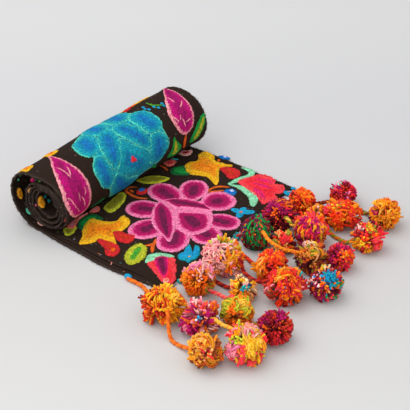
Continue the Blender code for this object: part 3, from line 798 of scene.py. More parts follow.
# Stars, leaves, buds and stems round it
flatGarden = [
    around(((35, 43), (28, 53), (27, 67), (31, 79), (40, 80), (54, 77), (50, 66), (46, 58),
            (50, 46), (52, 38), (44, 38)), "darkLeaf", spine=((38, 52), (38, 68))),
    star(((42, 51), (39, 68), (53, 72), (66, 78), (72, 88), (70, 103), (88, 97), (95, 74),
          (87, 61), (98, 52), (113, 38), (92, 38), (84, 34), (86, 21), (77, 3), (63, 23),
          (50, 37)), ((62, 46), (78, 66)), lift=0.15, blend=1.5),
    around(((88, 60), (92, 70), (105, 70), (116, 75), (123, 66), (123, 54), (112, 48),
            (100, 51)), "redBud", spine=((98, 61), (114, 62)), lift=0.2),
    around(((85, 30), (86, 36), (95, 37), (103, 41), (113, 40), (123, 35), (130, 26), (131, 12),
            (121, 8), (107, 21), (96, 24)), "redBud", spine=((104, 31), (121, 23)), lift=0.2),
    along(((118, 31), (121, 20)), 6, "orangeDot", lift=0.8),
    around(((139, 27), (134, 41), (132, 56), (139, 64), (151, 60), (161, 47), (166, 33),
            (164, 12), (152, 14)), "seed", spine=((152, 29), (144, 51)), ragged=1.3),
    along(((143, 42), (151, 39)), 5, "greenSpot", lift=0.4),
    along(((145, 63), (152, 74), (146, 86)), 6, "stem"), along(((151, 74), (164, 56)), 6, "stem"),
    around(((178, 30), (171, 45), (183, 48), (194, 66), (207, 56), (222, 38), (234, 19),
            (226, 9), (202, 19)), "berry", spine=((188, 44), (216, 28)), ragged=1.3),
    around(((174, 30), (165, 45), (169, 58), (180, 66), (194, 69), (190, 60), (180, 51),
            (181, 43), (177, 36)), "mint", spine=((170, 44), (183, 60)), lift=0.3),
    around(((176, 46), (178, 55), (187, 62), (199, 50), (213, 31), (217, 19), (203, 25),
            (188, 35)), "berryHeart", spine=((185, 50), (205, 32)), lift=0.5),
    along(((220, 22), (226, 10)), 9, "palePatch", lift=0.4),
    # blue bows and curls
    around(((191, 105), (192, 96), (199, 89), (198, 82), (196, 73), (205, 67), (212, 70),
            (219, 68), (219, 76), (221, 83), (219, 91), (214, 100), (207, 108), (202, 110),
            (199, 107), (205, 99), (208, 92), (202, 97), (194, 103)), "bow",
           spine=((196, 82), (214, 92))),
    along(((208, 78), (211, 80), (213, 83)), 5, "bowHeart", lift=0.4),
    along(((229, 76), (237, 83)), 6, "tealLine"),
    along(((195, 217), (180, 215)), 11, "cyan"), along(((196, 217), (202, 202)), 11, "cyan"),
    along(((194, 218), (194, 231)), 10, "cyan"), along(((197, 216), (212, 230)), 12, "cyan"),
    along(((194, 216), (199, 217)), 5, "orangeDot", lift=0.5),
    along(((223, 169), (230, 167), (234, 156), (230, 147)), 6, "tealLine"),
    along(((226, 74), (232, 81), (235, 93)), 6, "tealLine"),
    # far side
    along(((20, 188), (38, 205), (57, 224)), 24, "limeLeaf", (0.8, 0.9, 0.5)),
    along(((34, 175), (25, 167), (27, 157), (40, 153), (53, 153), (68, 160)), 6, "brownStem"),
    along(((29, 162), (40, 160)), 7, "brownStem", pointed),
    along(((47, 160), (47, 179)), 16, "redBud", lift=0.3),
    along(((45, 167), (45, 178)), 8, "blueDot", lift=1.0),
    around(((31, 104), (27, 127), (24, 150), (37, 146), (48, 124), (51, 99), (40, 97)),
           "limeLeaf", spine=((37, 110), (33, 136))),
    around(((42, 241), (40, 252), (45, 262), (50, 268), (57, 265), (59, 259), (69, 258),
            (72, 250), (62, 241), (52, 236)), "darkLeaf", spine=((48, 252), (62, 250))),
    star(((45, 307), (49, 320), (67, 317), (76, 308), (90, 309), (108, 312), (101, 302),
          (97, 293), (107, 278), (118, 264), (121, 253), (108, 258), (98, 262), (86, 259),
          (75, 253), (64, 253), (57, 259), (49, 266), (48, 280), (54, 289), (52, 297)),
         ((66, 284), (88, 286)), lift=0.15, blend=1.5),
    around(((97, 292), (101, 302), (115, 308), (129, 303), (133, 289), (126, 280), (110, 287)),
           "redBud", spine=((108, 296), (120, 294)), lift=0.3),
    along(((134, 266), (139, 288), (145, 306), (138, 317), (121, 315)), 11, "mint",
          (0.5, 0.6, 0.5)),
    along(((133, 266), (156, 270), (184, 261), (201, 239)), 14, "mint", (0.5, 0.45, 0.62)),
    around(((140, 281), (144, 297), (155, 317), (169, 322), (183, 318), (190, 310), (200, 313),
            (209, 306), (213, 294), (206, 287), (217, 279), (221, 266), (212, 261), (207, 254),
            (189, 263), (164, 271)), "berry", spine=((160, 296), (190, 286)), lift=0.2,
           ragged=1.4),
    streak(((156, 303), (188, 311)), 11), streak(((158, 291), (198, 296)), 9),
    streak(((168, 283), (206, 264)), 13),
    along(((124, 229), (123, 241), (129, 253), (142, 261)), 4.5, "stem"),
    along(((126, 229), (132, 238), (141, 248)), 4, "stem"),
    along(((141, 249), (160, 251)), 20, "blueDot"), along(((147, 254), (154, 254)), 7,
                                                          "whiteDot", lift=0.6),
    along(((73, 321), (92, 325)), 10, "blueDot"), along(((79, 324), (86, 325)), 4, "whiteDot",
                                                        lift=0.6),
    along(((78, 311), (83, 313)), 4, "orangeDot"),
    along(((212, 302), (226, 298)), 9, "cyan"), along(((214, 316), (221, 316)), 7, "cyan"),
    # under the roll's front
    around(((30, 28), (19, 38), (18, 53), (26, 54), (33, 44), (38, 34)), "footPatch", ragged=1.5,
           lift=1.0),
    along(((26, 50), (25, 62), (26, 76)), 4.5, "footPatch", ragged=1.5, lift=1.5),
    around(((25, 25), (33, 31), (36, 39), (42, 33), (48, 14), (41, 11), (33, 18)), "limeLeaf"),
    around(((25, 79), (23, 97), (31, 94), (33, 86)), "footPatch", ragged=1.5,
           lift=0.8),
    around(((20, 252), (18, 262), (24, 270), (32, 268), (35, 259), (32, 251)), "pinkBud",
           ragged=1.5),
    along(((18, 244), (27, 244), (40, 239)), 5, "brownStem"),
    along(((16, 271), (23, 273), (30, 276)), 5, "tealLine"),
    around(((18, 290), (16, 302), (23, 305), (29, 311), (34, 300), (30, 290)), "paleBud",
           ragged=1.5),
]

# Single stitches left where threads were fastened: along, across, slant and colour
for u, v, slant, colour in ((60, 8, 3, "whiteDot"), (112, 2, 2, "orangeDot"), (116, 1, 3, "whiteDot"),
                            (139, -2, 2, "palePatch"), (150, 4, 3, "tealLine"),
                            (163, -4, 2, "palePatch"), (24, 12, 2, "greenLine"),
                            (70, 40, 2, "orangeDot"), (164, 219, 3, "redSpot"),
                            (172, 223, 2, "redSpot"), (88, 14, 2, "tealLine")):
    flatGarden.append(along(((u, v), (u + 1.8, v + 0.7 * slant)), 1.2, colour, high=0.6))

# Round the roll: thousandths of a turn from the bottom up the back, and millimetres across
blueFlower = [
    around(((475, 88), (415, 125), (398, 160), (400, 198), (485, 211), (540, 230), (640, 230),
            (730, 230), (808, 208), (822, 174), (864, 154), (892, 124), (772, 96), (740, 83),
            (640, 81), (592, 90), (552, 78)), "blueBase", spine=((590, 130), (660, 184)),
           high=0.8, ragged=0.4),
    lobe(((482, 81), (467, 98), (459, 118), (520, 122), (575, 112), (594, 96), (590, 84),
          (552, 75)), ((505, 100), (552, 96))),
    lobe(((410, 125), (394, 142), (400, 158), (465, 158), (506, 150), (515, 128), (471, 114)),
         ((435, 138), (480, 138))),
    lobe(((424, 162), (394, 178), (398, 200), (431, 208), (479, 206), (514, 190), (514, 176),
          (497, 162)), ((440, 184), (480, 184))),
    lobe(((516, 192), (487, 208), (508, 224), (556, 232), (615, 234), (646, 225), (645, 209),
          (627, 198), (581, 193)), ((545, 211), (605, 216)), 0.3),
    lobe(((644, 202), (649, 220), (689, 231), (730, 231), (771, 221), (796, 207), (783, 189),
          (723, 186), (681, 195)), ((688, 211), (748, 208))),
    lobe(((609, 88), (604, 98), (629, 106), (706, 108), (750, 108), (774, 98), (761, 88),
          (739, 82), (680, 76), (637, 78)), ((640, 92), (734, 95))),
    lobe(((730, 110), (729, 123), (777, 139), (803, 162), (826, 165), (862, 152), (884, 136),
          (896, 118), (850, 108), (783, 102)), ((757, 118), (846, 136))),
    around(((586, 150), (637, 162), (705, 188), (766, 188), (796, 170), (779, 148), (753, 126),
            (719, 115), (672, 129)), "blueBase", spine=((688, 144), (748, 163)), lift=0.45),
    lobe(((519, 153), (514, 174), (556, 188), (622, 196), (679, 197), (700, 189), (666, 173),
          (616, 160), (571, 152)), ((550, 168), (650, 186)), 0.6),
    lobe(((521, 122), (508, 144), (528, 152), (568, 151), (619, 143), (672, 130), (704, 114),
          (674, 109), (613, 106), (567, 109)), ((550, 132), (650, 120)), 0.65),
    around(((684, 152), (696, 156), (716, 160), (716, 152), (710, 147), (696, 148)), "roseSpot",
           lift=0.9),
]

rollGarden = [
    around(((440, 46), (500, 48), (560, 51), (620, 56), (690, 59), (760, 58), (810, 54),
            (828, 40), (814, 24), (766, 10), (700, 3), (645, 7), (590, 14), (535, 24),
            (480, 38)), "magentaLeaf", spine=((545, 37), (765, 34)), blend=1.1),
    vein(((539, 29), (562, 32), (593, 34), (622, 35))), vein(((562, 43), (593, 40), (612, 36))),
    vein(((685, 48), (704, 48), (724, 44))), vein(((690, 34), (736, 32)), 2.8),
    vein(((714, 37), (747, 41), (780, 43))),
    vein(((676, 7), (694, 15), (732, 20), (792, 32)), 2.8),
    around(((400, 314), (450, 306), (535, 303), (600, 303), (662, 299), (712, 289), (735, 272),
            (708, 258), (650, 252), (600, 254), (550, 265), (500, 280), (450, 296)),
           "magentaLeaf", spine=((500, 292), (680, 276)), blend=1.1),
    vein(((518, 279), (541, 280), (570, 280))), vein(((571, 295), (590, 288), (601, 281))),
    vein(((620, 257), (636, 260), (662, 264))), vein(((632, 273), (656, 267)), 2.4),
    vein(((647, 272), (667, 273), (698, 272))), vein(((677, 276), (672, 289)), 2.8),
    along(((733, 271), (772, 268), (818, 270)), 6, "stem"),
    around(((713, 244), (745, 250), (779, 260), (802, 260), (832, 250), (826, 241), (808, 231),
            (775, 237), (740, 240)), "greenLeaf", spine=((740, 245), (800, 246)), blend=2.0),
    around(((686, 322), (686, 315), (707, 304), (736, 294), (768, 286), (801, 282), (816, 293),
            (802, 305), (766, 313), (730, 319)), "greenLeaf", spine=((712, 315), (790, 296)),
           blend=2.0),
    along(((866, 70), (862, 84), (838, 97)), 8, "darkLeaf", pointed),
    along(((801, 192), (818, 201), (846, 210)), 8, "darkLeaf", pointed),
    # dotted sprig
    along(((466, 248), (512, 248), (548, 262)), 2.6, "greenLine", high=0.7),
    along(((497, 250), (520, 246), (545, 247)), 2.2, "greenLine", high=0.7),
    *(along(((a - 8, b), (a + 8, b)), 5, "cyan") for a, b in (
        (490, 234), (508, 232), (526, 235), (528, 246), (546, 250), (552, 261), (534, 262))),
    # over the ridge and down the back
    along(((440, 210), (418, 222), (404, 236)), 11, "redBud", pointed),
    along(((412, 232), (398, 246)), 9, "orangeDot"),
    *(star(loop, spine, blend=1.8) for *loop, spine in (
        ((420, 250), (404, 258), (408, 276), (372, 268), (330, 284), (338, 258), (300, 240),
         (344, 238), (362, 214), (378, 240), ((352, 252), (374, 256))),
        ((452, 50), (444, 66), (412, 65), (360, 68), (318, 58), (362, 54), (404, 50), (430, 46),
         ((372, 59), (424, 56))),
        ((450, 2), (440, 15), (418, 18), (392, 17), (340, 26), (296, 20), (344, 8), (396, 4),
         (430, 0), ((352, 16), (424, 8))),
        ((330, 10), (340, 40), (330, 70), (290, 76), (240, 66), (262, 44), (236, 20), (286, 12),
         ((290, 34), (290, 54))))),
    along(((416, 56), (430, 59)), 6, "rustSpot", lift=0.6),
    along(((330, 90), (262, 104), (196, 92)), 30, "limeLeaf", (0.8, 0.9, 0.5)),
    along(((300, 300), (236, 290), (150, 306)), 26, "greenLeaf", pointed),
    along(((212, 20), (160, 30), (80, 22)), 28, "magentaLeaf", (0.7, 0.9, 0.5)),
    along(((120, 60), (146, 92), (160, 118)), 8, "stem"),
    along(((96, 70), (84, 104)), 18, "redBud", teardrop),
    along(((290, 122), (262, 144)), 12, "darkLeaf", pointed),
    along(((170, 250), (110, 262)), 22, "darkLeaf", teardrop),
    along(((96, 220), (84, 196)), 14, "cyan"),
    along(((90, 300), (120, 276)), 12, "redBud", teardrop),
    *(along(((a - 9, b), (a + 9, b)), 6, "cyan") for a, b in (
        (352, 110), (338, 128), (366, 132), (60, 40), (64, 150), (70, 270))),
]


def onInside(places, lift):
    # on the roll's inner face, the cloth's upper one
    return onRoll(places, lift, -1.0)


# Work that shows between the turns at the roll's near end, on the cloth's upper face
insideTufts = [
    tuft(182, 244, 12, 9, "amberDot", 2.2, high=1.6),
    tuft(1284, 1344, 5, 7, "peachPatch", 1.0, high=1.8),
    tuft(4096, 4278, 11, 11, "amberDot", 1.8, high=2.0),
    tuft(96, 132, 13, 7, "mintSpot", 0.7), tuft(6, 48, 13, 8, "palePatch", 0.8),
    along(((12, 20), (2, 30)), 4, "palePatch", lift=0.5),
    tuft(926, 966, 25, 7, "pinkBud", 1.2), tuft(4200, 4244, 21, 4, "tealLine", 0.5),
    tuft(4120, 4170, 25, 4, "tealLine", 0.5), tuft(290, 306, 11, 3, "mintSpot", 0.4),
    tuft(322, 336, 12, 3, "greenLine", 0.4), tuft(3170, 3200, 6, 3, "pinkSpot", 0.3),
    tuft(2150, 2180, 8, 4, "greenLine", 0.3),
]
# and on its lower face
outsideTufts = [
    tuft(1368, 1398, 8, 6, "pinkSpot", 3.0, high=2.2), tuft(1350, 1370, 17, 3, "mintSpot", 0.4),
    tuft(2412, 2484, 8, 4, "pinkSpot", 0.5), tuft(3460, 3500, 9, 3, "peachPatch", 0.3),
    tuft(1450, 1466, 5, 3, "greenLine", 0.3), tuft(1784, 1824, 8, 5, "pinkBud", 0.5),
]


def backFlower():
    # petals round a middle on the back of the roll, and two shapes over them
    middle = np.array((225.0, 178.0))
    petals, near, far = 7, 18, 62          # how far from the middle a petal runs, in mm
    items = []
    for k in range(petals):
        angle = math.radians(k * 360 / petals + 12)
        way = np.array((math.cos(angle) / aroundRoll, math.sin(angle)))
        items.append(along((middle + way * near, middle + way * far), 36, "coralFlower"))
    items.append(along((middle + (-70, -18), middle + (76, 16)), 30, "heart", (0.8, 0.8, 0.5),
                       lift=0.6))
    items.append(along((middle + (-30, 26), middle + (60, 4)), 16, "star", pointed, lift=0.9))
    return items


def embroider(name, items, place, scale, seed):
    # one piece of raised work; scale takes an item's own measure to millimetres
    dice = np.random.default_rng(seed)
    pile = Pile()
    for item in items:
        stitchShape(pile, item, place, np.array(scale), dice)
    return pile.make(name, stitched)


# Pompoms

# Place of the middle and radius as the solids have them, how much longer it is along
# a heading in degrees (None is upright), how its yarn is cut, and its yarns with their
# shares. A side after a colon, right and up as seen from the front, is where that yarn
# gathers. What lies over the cut yarn follows: kind, yarns, where (right, up, towards
# the eye, and for a sweep the way it goes), how far it spreads and how many strands.
pompoms = {
    "yellow_flame": (0.271, -0.048, 0.0252, 1.06, 39, "tuft",
                     "amber 8 yellow 4 gold 6 orange 4 rust 3 brick 3:-1,-0.6 darkRed 1.6:-1.2,0.3",
                     ("sweep", "amber yellow gold", (0.1, 0.8, 0.5, 0.1, -1), 0.5, 24),
                     ("burst", "amber yellow straw", (0.6, 0.4, 0.7), 0.5, 40)),
    "orange_pink": (0.269, 0.028, 0.0226, 1.0, 0, "cut",
                    "orange 7 gold 9 rust 2:0,-0.4 pink 0.7:0.4,2 palePink 0.8:0.4,2 "
                    "mint 0.3:-0.8,1.8 olive 0.5:1.6,-0.6",
                    ("loops", "palePink pink palePink rose", (0.4, 0.9, 0.5), 0.55, 30),
                    ("sweep", "palePink pink brown", (0.5, 0.7, 0.7, 0.6, -0.8), 0.5, 16)),
    "pink_orange": (0.266, 0.086, 0.0255, 1.05, 39, "tuft",
                    "pink 6:-0.8,-0.2 palePink 9:-0.7,-0.2 cream 2:-0.5,0.2 orange 6:1,0.3 "
                    "amber 5:0.4,0 lime 1.2:0,1.6 gold 3:0.6,-0.6",
                    ("loops", "palePink pink palePink", (-0.6, 0.2, 0.7), 0.8, 74),
                    ("loops", "yellow amber orange", (0.5, 0.0, 0.9), 0.5, 26),
                    ("burst", "lime yellow olive", (0.0, 0.95, 0.35), 0.3, 16)),
    "forest_mix": (0.262, 0.165, 0.0222, 1.2, None, "cut",
                   "green 8 darkGreen 6:0.4,-0.6 brick 3 orange 2 plum 4:-0.4,0.8 wine 5:0,-0.8 "
                   "darkRed 3 navy 1 fuchsia 0.3",
                   ("sweep", "green darkGreen wine rust green", (0.1, 0.4, 0.8, 0.2, -1), 1.3, 90)),
    "purple_orange": (0.262, 0.219, 0.0238, 1.0, 0, "cut",
                      "magenta 6:-0.5,0.9 plum 2 wine 6:0,-1.1 darkRed 6:0,-0.9 orange 2:0.4,1 "
                      "scarlet 1.5:-0.6,0.4",
                      ("sweep", "orange gold brick magenta", (-0.2, 0.9, 0.5, 1, 0.2), 0.6, 34)),
    "red_orange": (0.261, 0.277, 0.0195, 1.0, 0, "cut",
                   "orange 5:-0.2,0.4 flame 7 brick 4:0,-1 red 6:0,-0.3 gold 1.4 darkRed 1",
                   ("sweep", "orange flame gold", (0.0, 0.5, 0.8, 0.6, -0.5), 0.9, 30)),
    "magenta_berry": (0.297, 0.330, 0.0197, 1.0, 0, "cut",
                      "magenta 4:0,0.6 scarlet 6:0.6,0 brick 4:-0.8,-0.7 darkRed 4 coral 1.6 "
                      "rose 0.7:-0.4,1.6 mint 0.4:0.2,1.6"),
    "long_orange": (0.330, 0.281, 0.0220, 1.18, 40, "tuft",
                    "flame 6 orange 5 gold 3:0,-0.4 red 3:0.8,0.2 coral 1:-1,0.3",
                    ("sweep", "flame orange flame gold red", (-0.5, 0.6, 0.6, 1, -0.45), 1.0, 130),
                    ("burst", "coral scarlet", (-0.9, 0.35, 0.3), 0.35, 44),
                    ("burst", "yellow olive amber", (-0.42, 0.5, 0.75), 0.3, 18)),
    "far_amber": (0.375, 0.319, 0.0221, 1.0, 0, "cut",
                  "amber 9 gold 7 yellow 2 orange 3:0,-0.6 rust 4 magenta 1.2:-1.1,0.2 "
                  "darkRed 1:-1,-0.8",
                  ("loops", "amber gold rust straw", (0.2, 0.0, 1.0), 0.7, 26)),
    "red_yellow": (0.390, 0.254, 0.0208, 1.0, 0, "tuft",
                   "scarlet 5:0.5,0 coral 4:0.7,0.2 amber 4 gold 2 darkRed 3:-0.6,0.6 flame 3:0,-0.6",
                   ("burst", "yellow amber olive", (0.1, 0.6, 0.7), 0.45, 26),
                   ("burst", "palePink white pink", (-0.65, 0.65, 0.4), 0.4, 14),
                   ("burst", "amber yellow", (-0.6, -0.3, 0.7), 0.4, 20)),
    "magenta_flame": (0.318, 0.218, 0.0232, 1.0, 0, "tuft",
                      "magenta 4:-0.6,0.6 hotPink 2 coral 3 orange 3:0.9,-0.4 flame 3 "
                      "brick 3:0.4,-1 wine 1.5:0,-1",
                      ("sweep", "magenta coral hotPink amber scarlet", (-0.1, 0.7, 0.6, -0.2, -1),
                       1.2, 110),
                      ("sweep", "yellow amber peach amber", (0.4, 0.6, 0.6, 0.1, -1), 0.5, 30)),
    "small_yellow": (0.296, 0.264, 0.0143, 1.0, 0, "tuft",
                     "gold 3 amber 3 tan 3 brown 3 palePink 2:-0.4,0.6 olive 1 yellow 2:0.6,-0.6"),
    "red_star": (0.300, 0.178, 0.0160, 1.0, 0, "tuft",
                 "flame 3 orange 3 peach 2:-0.9,0.3 gold 2 wine 2:0.8,-0.6 olive 0.7:-1,0.3",
                 ("burst", "scarlet coral scarlet red", (0.1, 0.3, 0.9), 0.5, 70),
                 ("burst", "yellow flame peach", (0.3, -0.7, 0.6), 0.4, 18)),
    "orange_red": (0.326, 0.114, 0.0210, 1.1, 100, "tuft",
                   "flame 7 orange 5 red 4:0.6,0 darkRed 2:0,-1 gold 2:-0.8,-0.4",
                   ("sweep", "orange gold amber orange peach", (-0.7, 0.5, 0.6, -0.1, -1), 0.5, 70),
                   ("sweep", "flame red orange flame", (0.0, 0.7, 0.7, 0.9, -0.2), 0.7, 60)),
    "orange_dots": (0.372, 0.085, 0.0250, 1.0, 0, "tuft",
                    "flame 6 coral 5 orange 4 gold 2 red 6 teal 1 darkRed 3 brick 3 azure 0.3 "
                    "pink 0.4:-0.8,-0.6",
                    ("sweep", "amber gold straw", (-0.6, 0.7, 0.4, 0.6, 0.3), 0.4, 18),
                    ("sweep", "flame coral red orange", (0.4, 0.4, 0.8, 0.2, -1), 0.8, 36),
                    ("loops", "brick rust pink brown", (-1.0, -0.3, 0.3), 0.35, 14)),
    "yellow_brown": (0.355, 0.165, 0.0205, 1.0, 0, "tuft",
                     "tan 3 olive 2 brown 4 rust 3 gold 2 wine 4:-0.7,-0.6 darkRed 3:0.6,0.6",
                     ("loops", "palePink peach cream", (-0.1, 1.0, 0.3), 0.4, 12),
                     ("loops", "gold tan olive yellow peach", (0.1, 0.4, 0.9), 0.5, 34)),
    "dark_magenta": (0.385, 0.193, 0.0190, 1.0, 0, "cut",
                     "magenta 4:-0.8,0.6 darkRed 3:-0.8,0 scarlet 5 brick 3 orange 3 coral 2",
                     ("burst", "orange amber flame gold", (0.25, 0.2, 0.9), 0.6, 44)),
    "blue_mix": (0.408, 0.125, 0.0225, 1.0, 0, "cut",
                 "darkRed 3:-0.6,-0.6 magenta 4:0,-0.6 orange 3 coral 2:0.4,-0.8 wine 3 "
                 "green 1:0.9,-0.2 teal 1.6:0.7,-0.6 amber 1",
                 ("burst", "azure cyan azure turquoise", (0.15, 0.45, 0.9), 0.75, 130),
                 ("burst", "white palePink blue skyWhite", (-0.7, 0.3, 0.6), 0.45, 24),
                 ("burst", "orange amber peach", (-0.2, 0.0, 1.0), 0.3, 16),
                 ("burst", "yellow lime cream", (-0.1, 1.0, 0.2), 0.25, 8)),
    "teal_mix": (0.326, 0.052, 0.0178, 1.0, 0, "tuft",
                 "amber 4:0,0.8 yellow 3:0,0.8 cream 3:0.6,0.3 flame 1.5:-0.6,0.3 darkRed 2:-0.6,-0.4 "
                 "navy 0.8:0.6,0 palePink 2:0.8,-0.4 brown 2 peach 2",
                 ("sweep", "orange gold orange", (0.05, 0.0, 1.0, 0, -1), 0.3, 22),
                 ("burst", "teal turquoise", (0.08, 0.1, 1.0), 0.22, 20)),
    "lime_loops": (0.352, 0.006, 0.0190, 1.1, 60, "tuft",
                   "lime 3:0,0.8 olive 2 orange 6:0,-0.6 tan 2 gold 3 brown 1.6:-0.8,-0.8",
                   ("loops", "lime yellow lime olive", (-0.8, 0.5, 0.4), 0.5, 30),
                   ("loops", "lime straw lime yellow", (0.5, 0.5, 0.7), 0.55, 46),
                   ("burst", "orange gold", (-0.05, 1.0, 0.3), 0.3, 16),
                   ("wind", "orange flame gold", (-0.1, -0.3, 1.0), 1.4, 36)),
    "magenta_white": (0.326, -0.037, 0.0230, 1.05, 39, "tuft",
                      "magenta 8 hotPink 3 pink 3:-0.3,0.2 palePink 2.6 brick 2 "
                      "plum 2:0.7,-0.5 coral 1.5:0.1,0.8 rust 3 orange 2:0.5,0",
                      ("burst", "magenta hotPink magenta", (-0.7, -0.65, 0.5), 0.4, 48),
                      ("burst", "palePink white", (0.15, -0.8, 0.6), 0.3, 12),
                      ("burst", "cyan skyWhite azure", (-0.1, 0.05, 1.0), 0.12, 9)),
    "dark_red": (0.412, 0.006, 0.0228, 1.0, 0, "cut",
                 "wine 1.6 darkRed 7 magenta 3:-0.4,0.5 brick 6 orange 1.6 red 5:0.5,-0.8"),
    "pink_yellow": (0.406, -0.047, 0.0240, 1.05, -60, "tuft",
                    "yellow 6 amber 4 gold 2 pink 1:0.4,0.9 coral 6:-0.8,-1 scarlet 2:0.9,0.8 "
                    "lime 0.8:-1,0.6",
                    ("sweep", "yellow amber yellow straw", (0.1, 0.6, 0.8, 0.25, -1), 0.7, 100),
                    ("loops", "pink palePink peach", (0.1, 1.0, 0.4), 0.45, 30),
                    ("loops", "pink rose pink", (-0.85, -0.25, 0.6), 0.4, 38)),
    "golden_brown": (0.372, -0.086, 0.0213, 1.08, None, "tuft",
                     "gold 5 amber 3 tan 3 brown 6:0.6,0 rust 6:0.8,-0.2 straw 3:-0.6,0.6",
                     ("wind", "tan amber rust amber straw", (0.15, -0.1, 1.0), 1.9, 34),
                     ("loops", "peach straw amber", (-0.5, 0.7, 0.5), 0.5, 24),
                     ("burst", "peach darkRed tan scarlet brown", (0.1, -0.1, 1.0), 0.35, 40)),
}

pompomShape = {
    "middle": 0.88,           # height of a pompom's middle over its radius
    "core": 0.52,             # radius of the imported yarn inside, over the pompom's
    "coreShade": 0.4,         # how dark it is, and a cut strand's root: painted shade deep in the pompom
    "root": 0.36,             # where a strand starts
    "strand": 0.00120,        # a strand's radius
    "usual": 0.022,           # the pompom's radius that the counts below are for
    "taper": (0.7, 1.0, 1.12, 1.15),      # a strand's thickness from its root to its tip
    "tips": (0.93, 1.05),     # a tip's reach over its clump's
    "stray": (0.02, 0.2),     # share of strands that stick out further, and how far
    "bow": 0.10,              # how far a strand bends of itself
    "join": 0.015,            # how loosely strands join the nearest clump
    "shake": 0.11,            # and how far each is off its way
    "shared": 0.66,           # share of strands that have their clump's yarn
    "tone": (0.16, 0.04),     # how much strands differ in tone, and in hue
    "ball": (15, 24),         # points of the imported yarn, from pole to pole and round it
}
# strands and clumps on a pompom of 22 mm radius, how far strands gather in clumps, how
# far they lean over and curl together, the shortest and longest reach, and thickness
pompomCuts = {
    "cut": {"strands": 640, "clumps": 100, "gather": 0.28, "lean": 0.30, "curl": 0.08,
            "reach": (0.92, 1.05), "thick": 1.0},
    "tuft": {"strands": 500, "clumps": 58, "gather": 0.50, "lean": 0.90, "curl": 0.32,
             "reach": (0.84, 1.10), "thick": 1.12},
}

view = {"azimuth": 38.6672, "elevation": 32.2854, "distance": 2.0479,
        "shiftRight": 0.2365, "shiftUp": 0.0372, "focal": 1439.9, "frame": 410, "sensor": 36.0}
viewTurn, viewTilt = math.radians(view["azimuth"]), math.radians(view["elevation"])
backWay = np.array((math.sin(viewTurn) * math.cos(viewTilt),
                    -math.cos(viewTurn) * math.cos(viewTilt), math.sin(viewTilt)))
rightWay = np.array((math.cos(viewTurn), math.sin(viewTurn), 0.0))
upWay = np.cross(backWay, rightWay)


def readMix(text):
    # "gold 5 pink 3:0,1" gives colours, shares and the side each gathers on
    words = text.split()
    names, shares, sides = [], [], []
    for name, share in zip(words[::2], words[1::2]):
        share, _, side = share.partition(":")
        names.append(linear(name))
        shares.append(float(share))
        sides.append([float(x) for x in side.split(",")] if side else [0.0, 0.0])
    return np.array(names), np.array(shares), np.array(sides)


def chooseColours(mix, ways, dice):
    # one yarn for each direction, by its share and by how far that side it gathers on
    tones, shares, sides = mix
    seen = np.stack([ways @ rightWay, ways @ upWay], axis=1)
    weight = shares * np.exp(1.9 * seen @ sides.T)
    gone = np.cumsum(weight / weight.sum(1, keepdims=True), axis=1)
    return (dice.random((len(ways), 1)) > gone).sum(1).clip(0, len(tones) - 1)


def evenWays(count, dice):
    # directions spread evenly over a ball by the golden angle, then shaken
    k = np.arange(count) + 0.5
    z = 1 - 2 * k / count
    turn = k * math.pi * (3 - math.sqrt(5))
    ring = np.sqrt(1 - z * z)
    ways = np.stack([ring * np.cos(turn), ring * np.sin(turn), z], axis=1)
    return unit(ways + dice.normal(0.0, 0.25 / math.sqrt(count), ways.shape))


def strandTubes(lines, radii, sides=4):
    # a tube round each line: lines is strands x rings x 3, radii strands x rings
    way = unit(np.gradient(lines, axis=1))
    helper = unit(np.cross(way[:, :1], np.array((0.31, 0.52, 0.79))))
    across = unit(helper - way * (helper * way).sum(-1, keepdims=True))
    third = np.cross(way, across)
    angle = (np.arange(sides) + 0.5) * 2 * math.pi / sides
    ring = (across[:, :, None] * np.cos(angle)[None, None, :, None]
            + third[:, :, None] * np.sin(angle)[None, None, :, None])
    return lines[:, :, None] + ring * radii[:, :, None, None]


def addStrands(pile, lines, radii, colours, root=0.55):
    # four-sided tubes closed by a quad at each end, all in one go; the yarn is painted
    # darker towards its root as shade deep among the strands, and paler on its cut end
    count, rows = lines.shape[:2]
    points = strandTubes(lines, radii)
    points[..., 2] = np.maximum(points[..., 2], floorGap)
    side = gridFaces(rows, 4, wrap=True)
    last = 4 * (rows - 1)
    pattern = np.concatenate([side, [[3, 2, 1, 0]], [[last, last + 1, last + 2, last + 3]]])
    faces = (pattern[None] + np.arange(count)[:, None, None] * rows * 4).reshape(-1, 4)
    # painted shade: each ring of faces darker towards the root, whose cap is darkest
    shade = np.r_[np.repeat(np.linspace(root, 1.10, rows - 1), 4), 0.5, 1.18]
    gone = np.linspace(0.0, 1.0, rows)[None, :, None] * 0.012
    uv = np.stack(np.broadcast_arrays(gone, (np.arange(4) / 4)[None, None, :]), axis=-1)
    uv = np.broadcast_to(uv, (count, rows, 4, 2))
    pile.add(points, faces, (colours[:, None] * shade[None, :, None]).reshape(-1, 3), uv)


def screenWay(side):
    # a direction given as right, up and towards the eye
    right, up, near = side
    return unit(rightWay * right + upWay * up + backWay * near)


def yarnShades(names, count, dice):
    # a yarn picked for each strand, a little lighter or darker than it is
    tones = np.array([linear(name) for name in names.split()])
    shade = dice.normal(1.0, 0.12, (count, 1)).clip(*dye["shades"])
    return tones[dice.integers(0, len(tones), count)] * shade


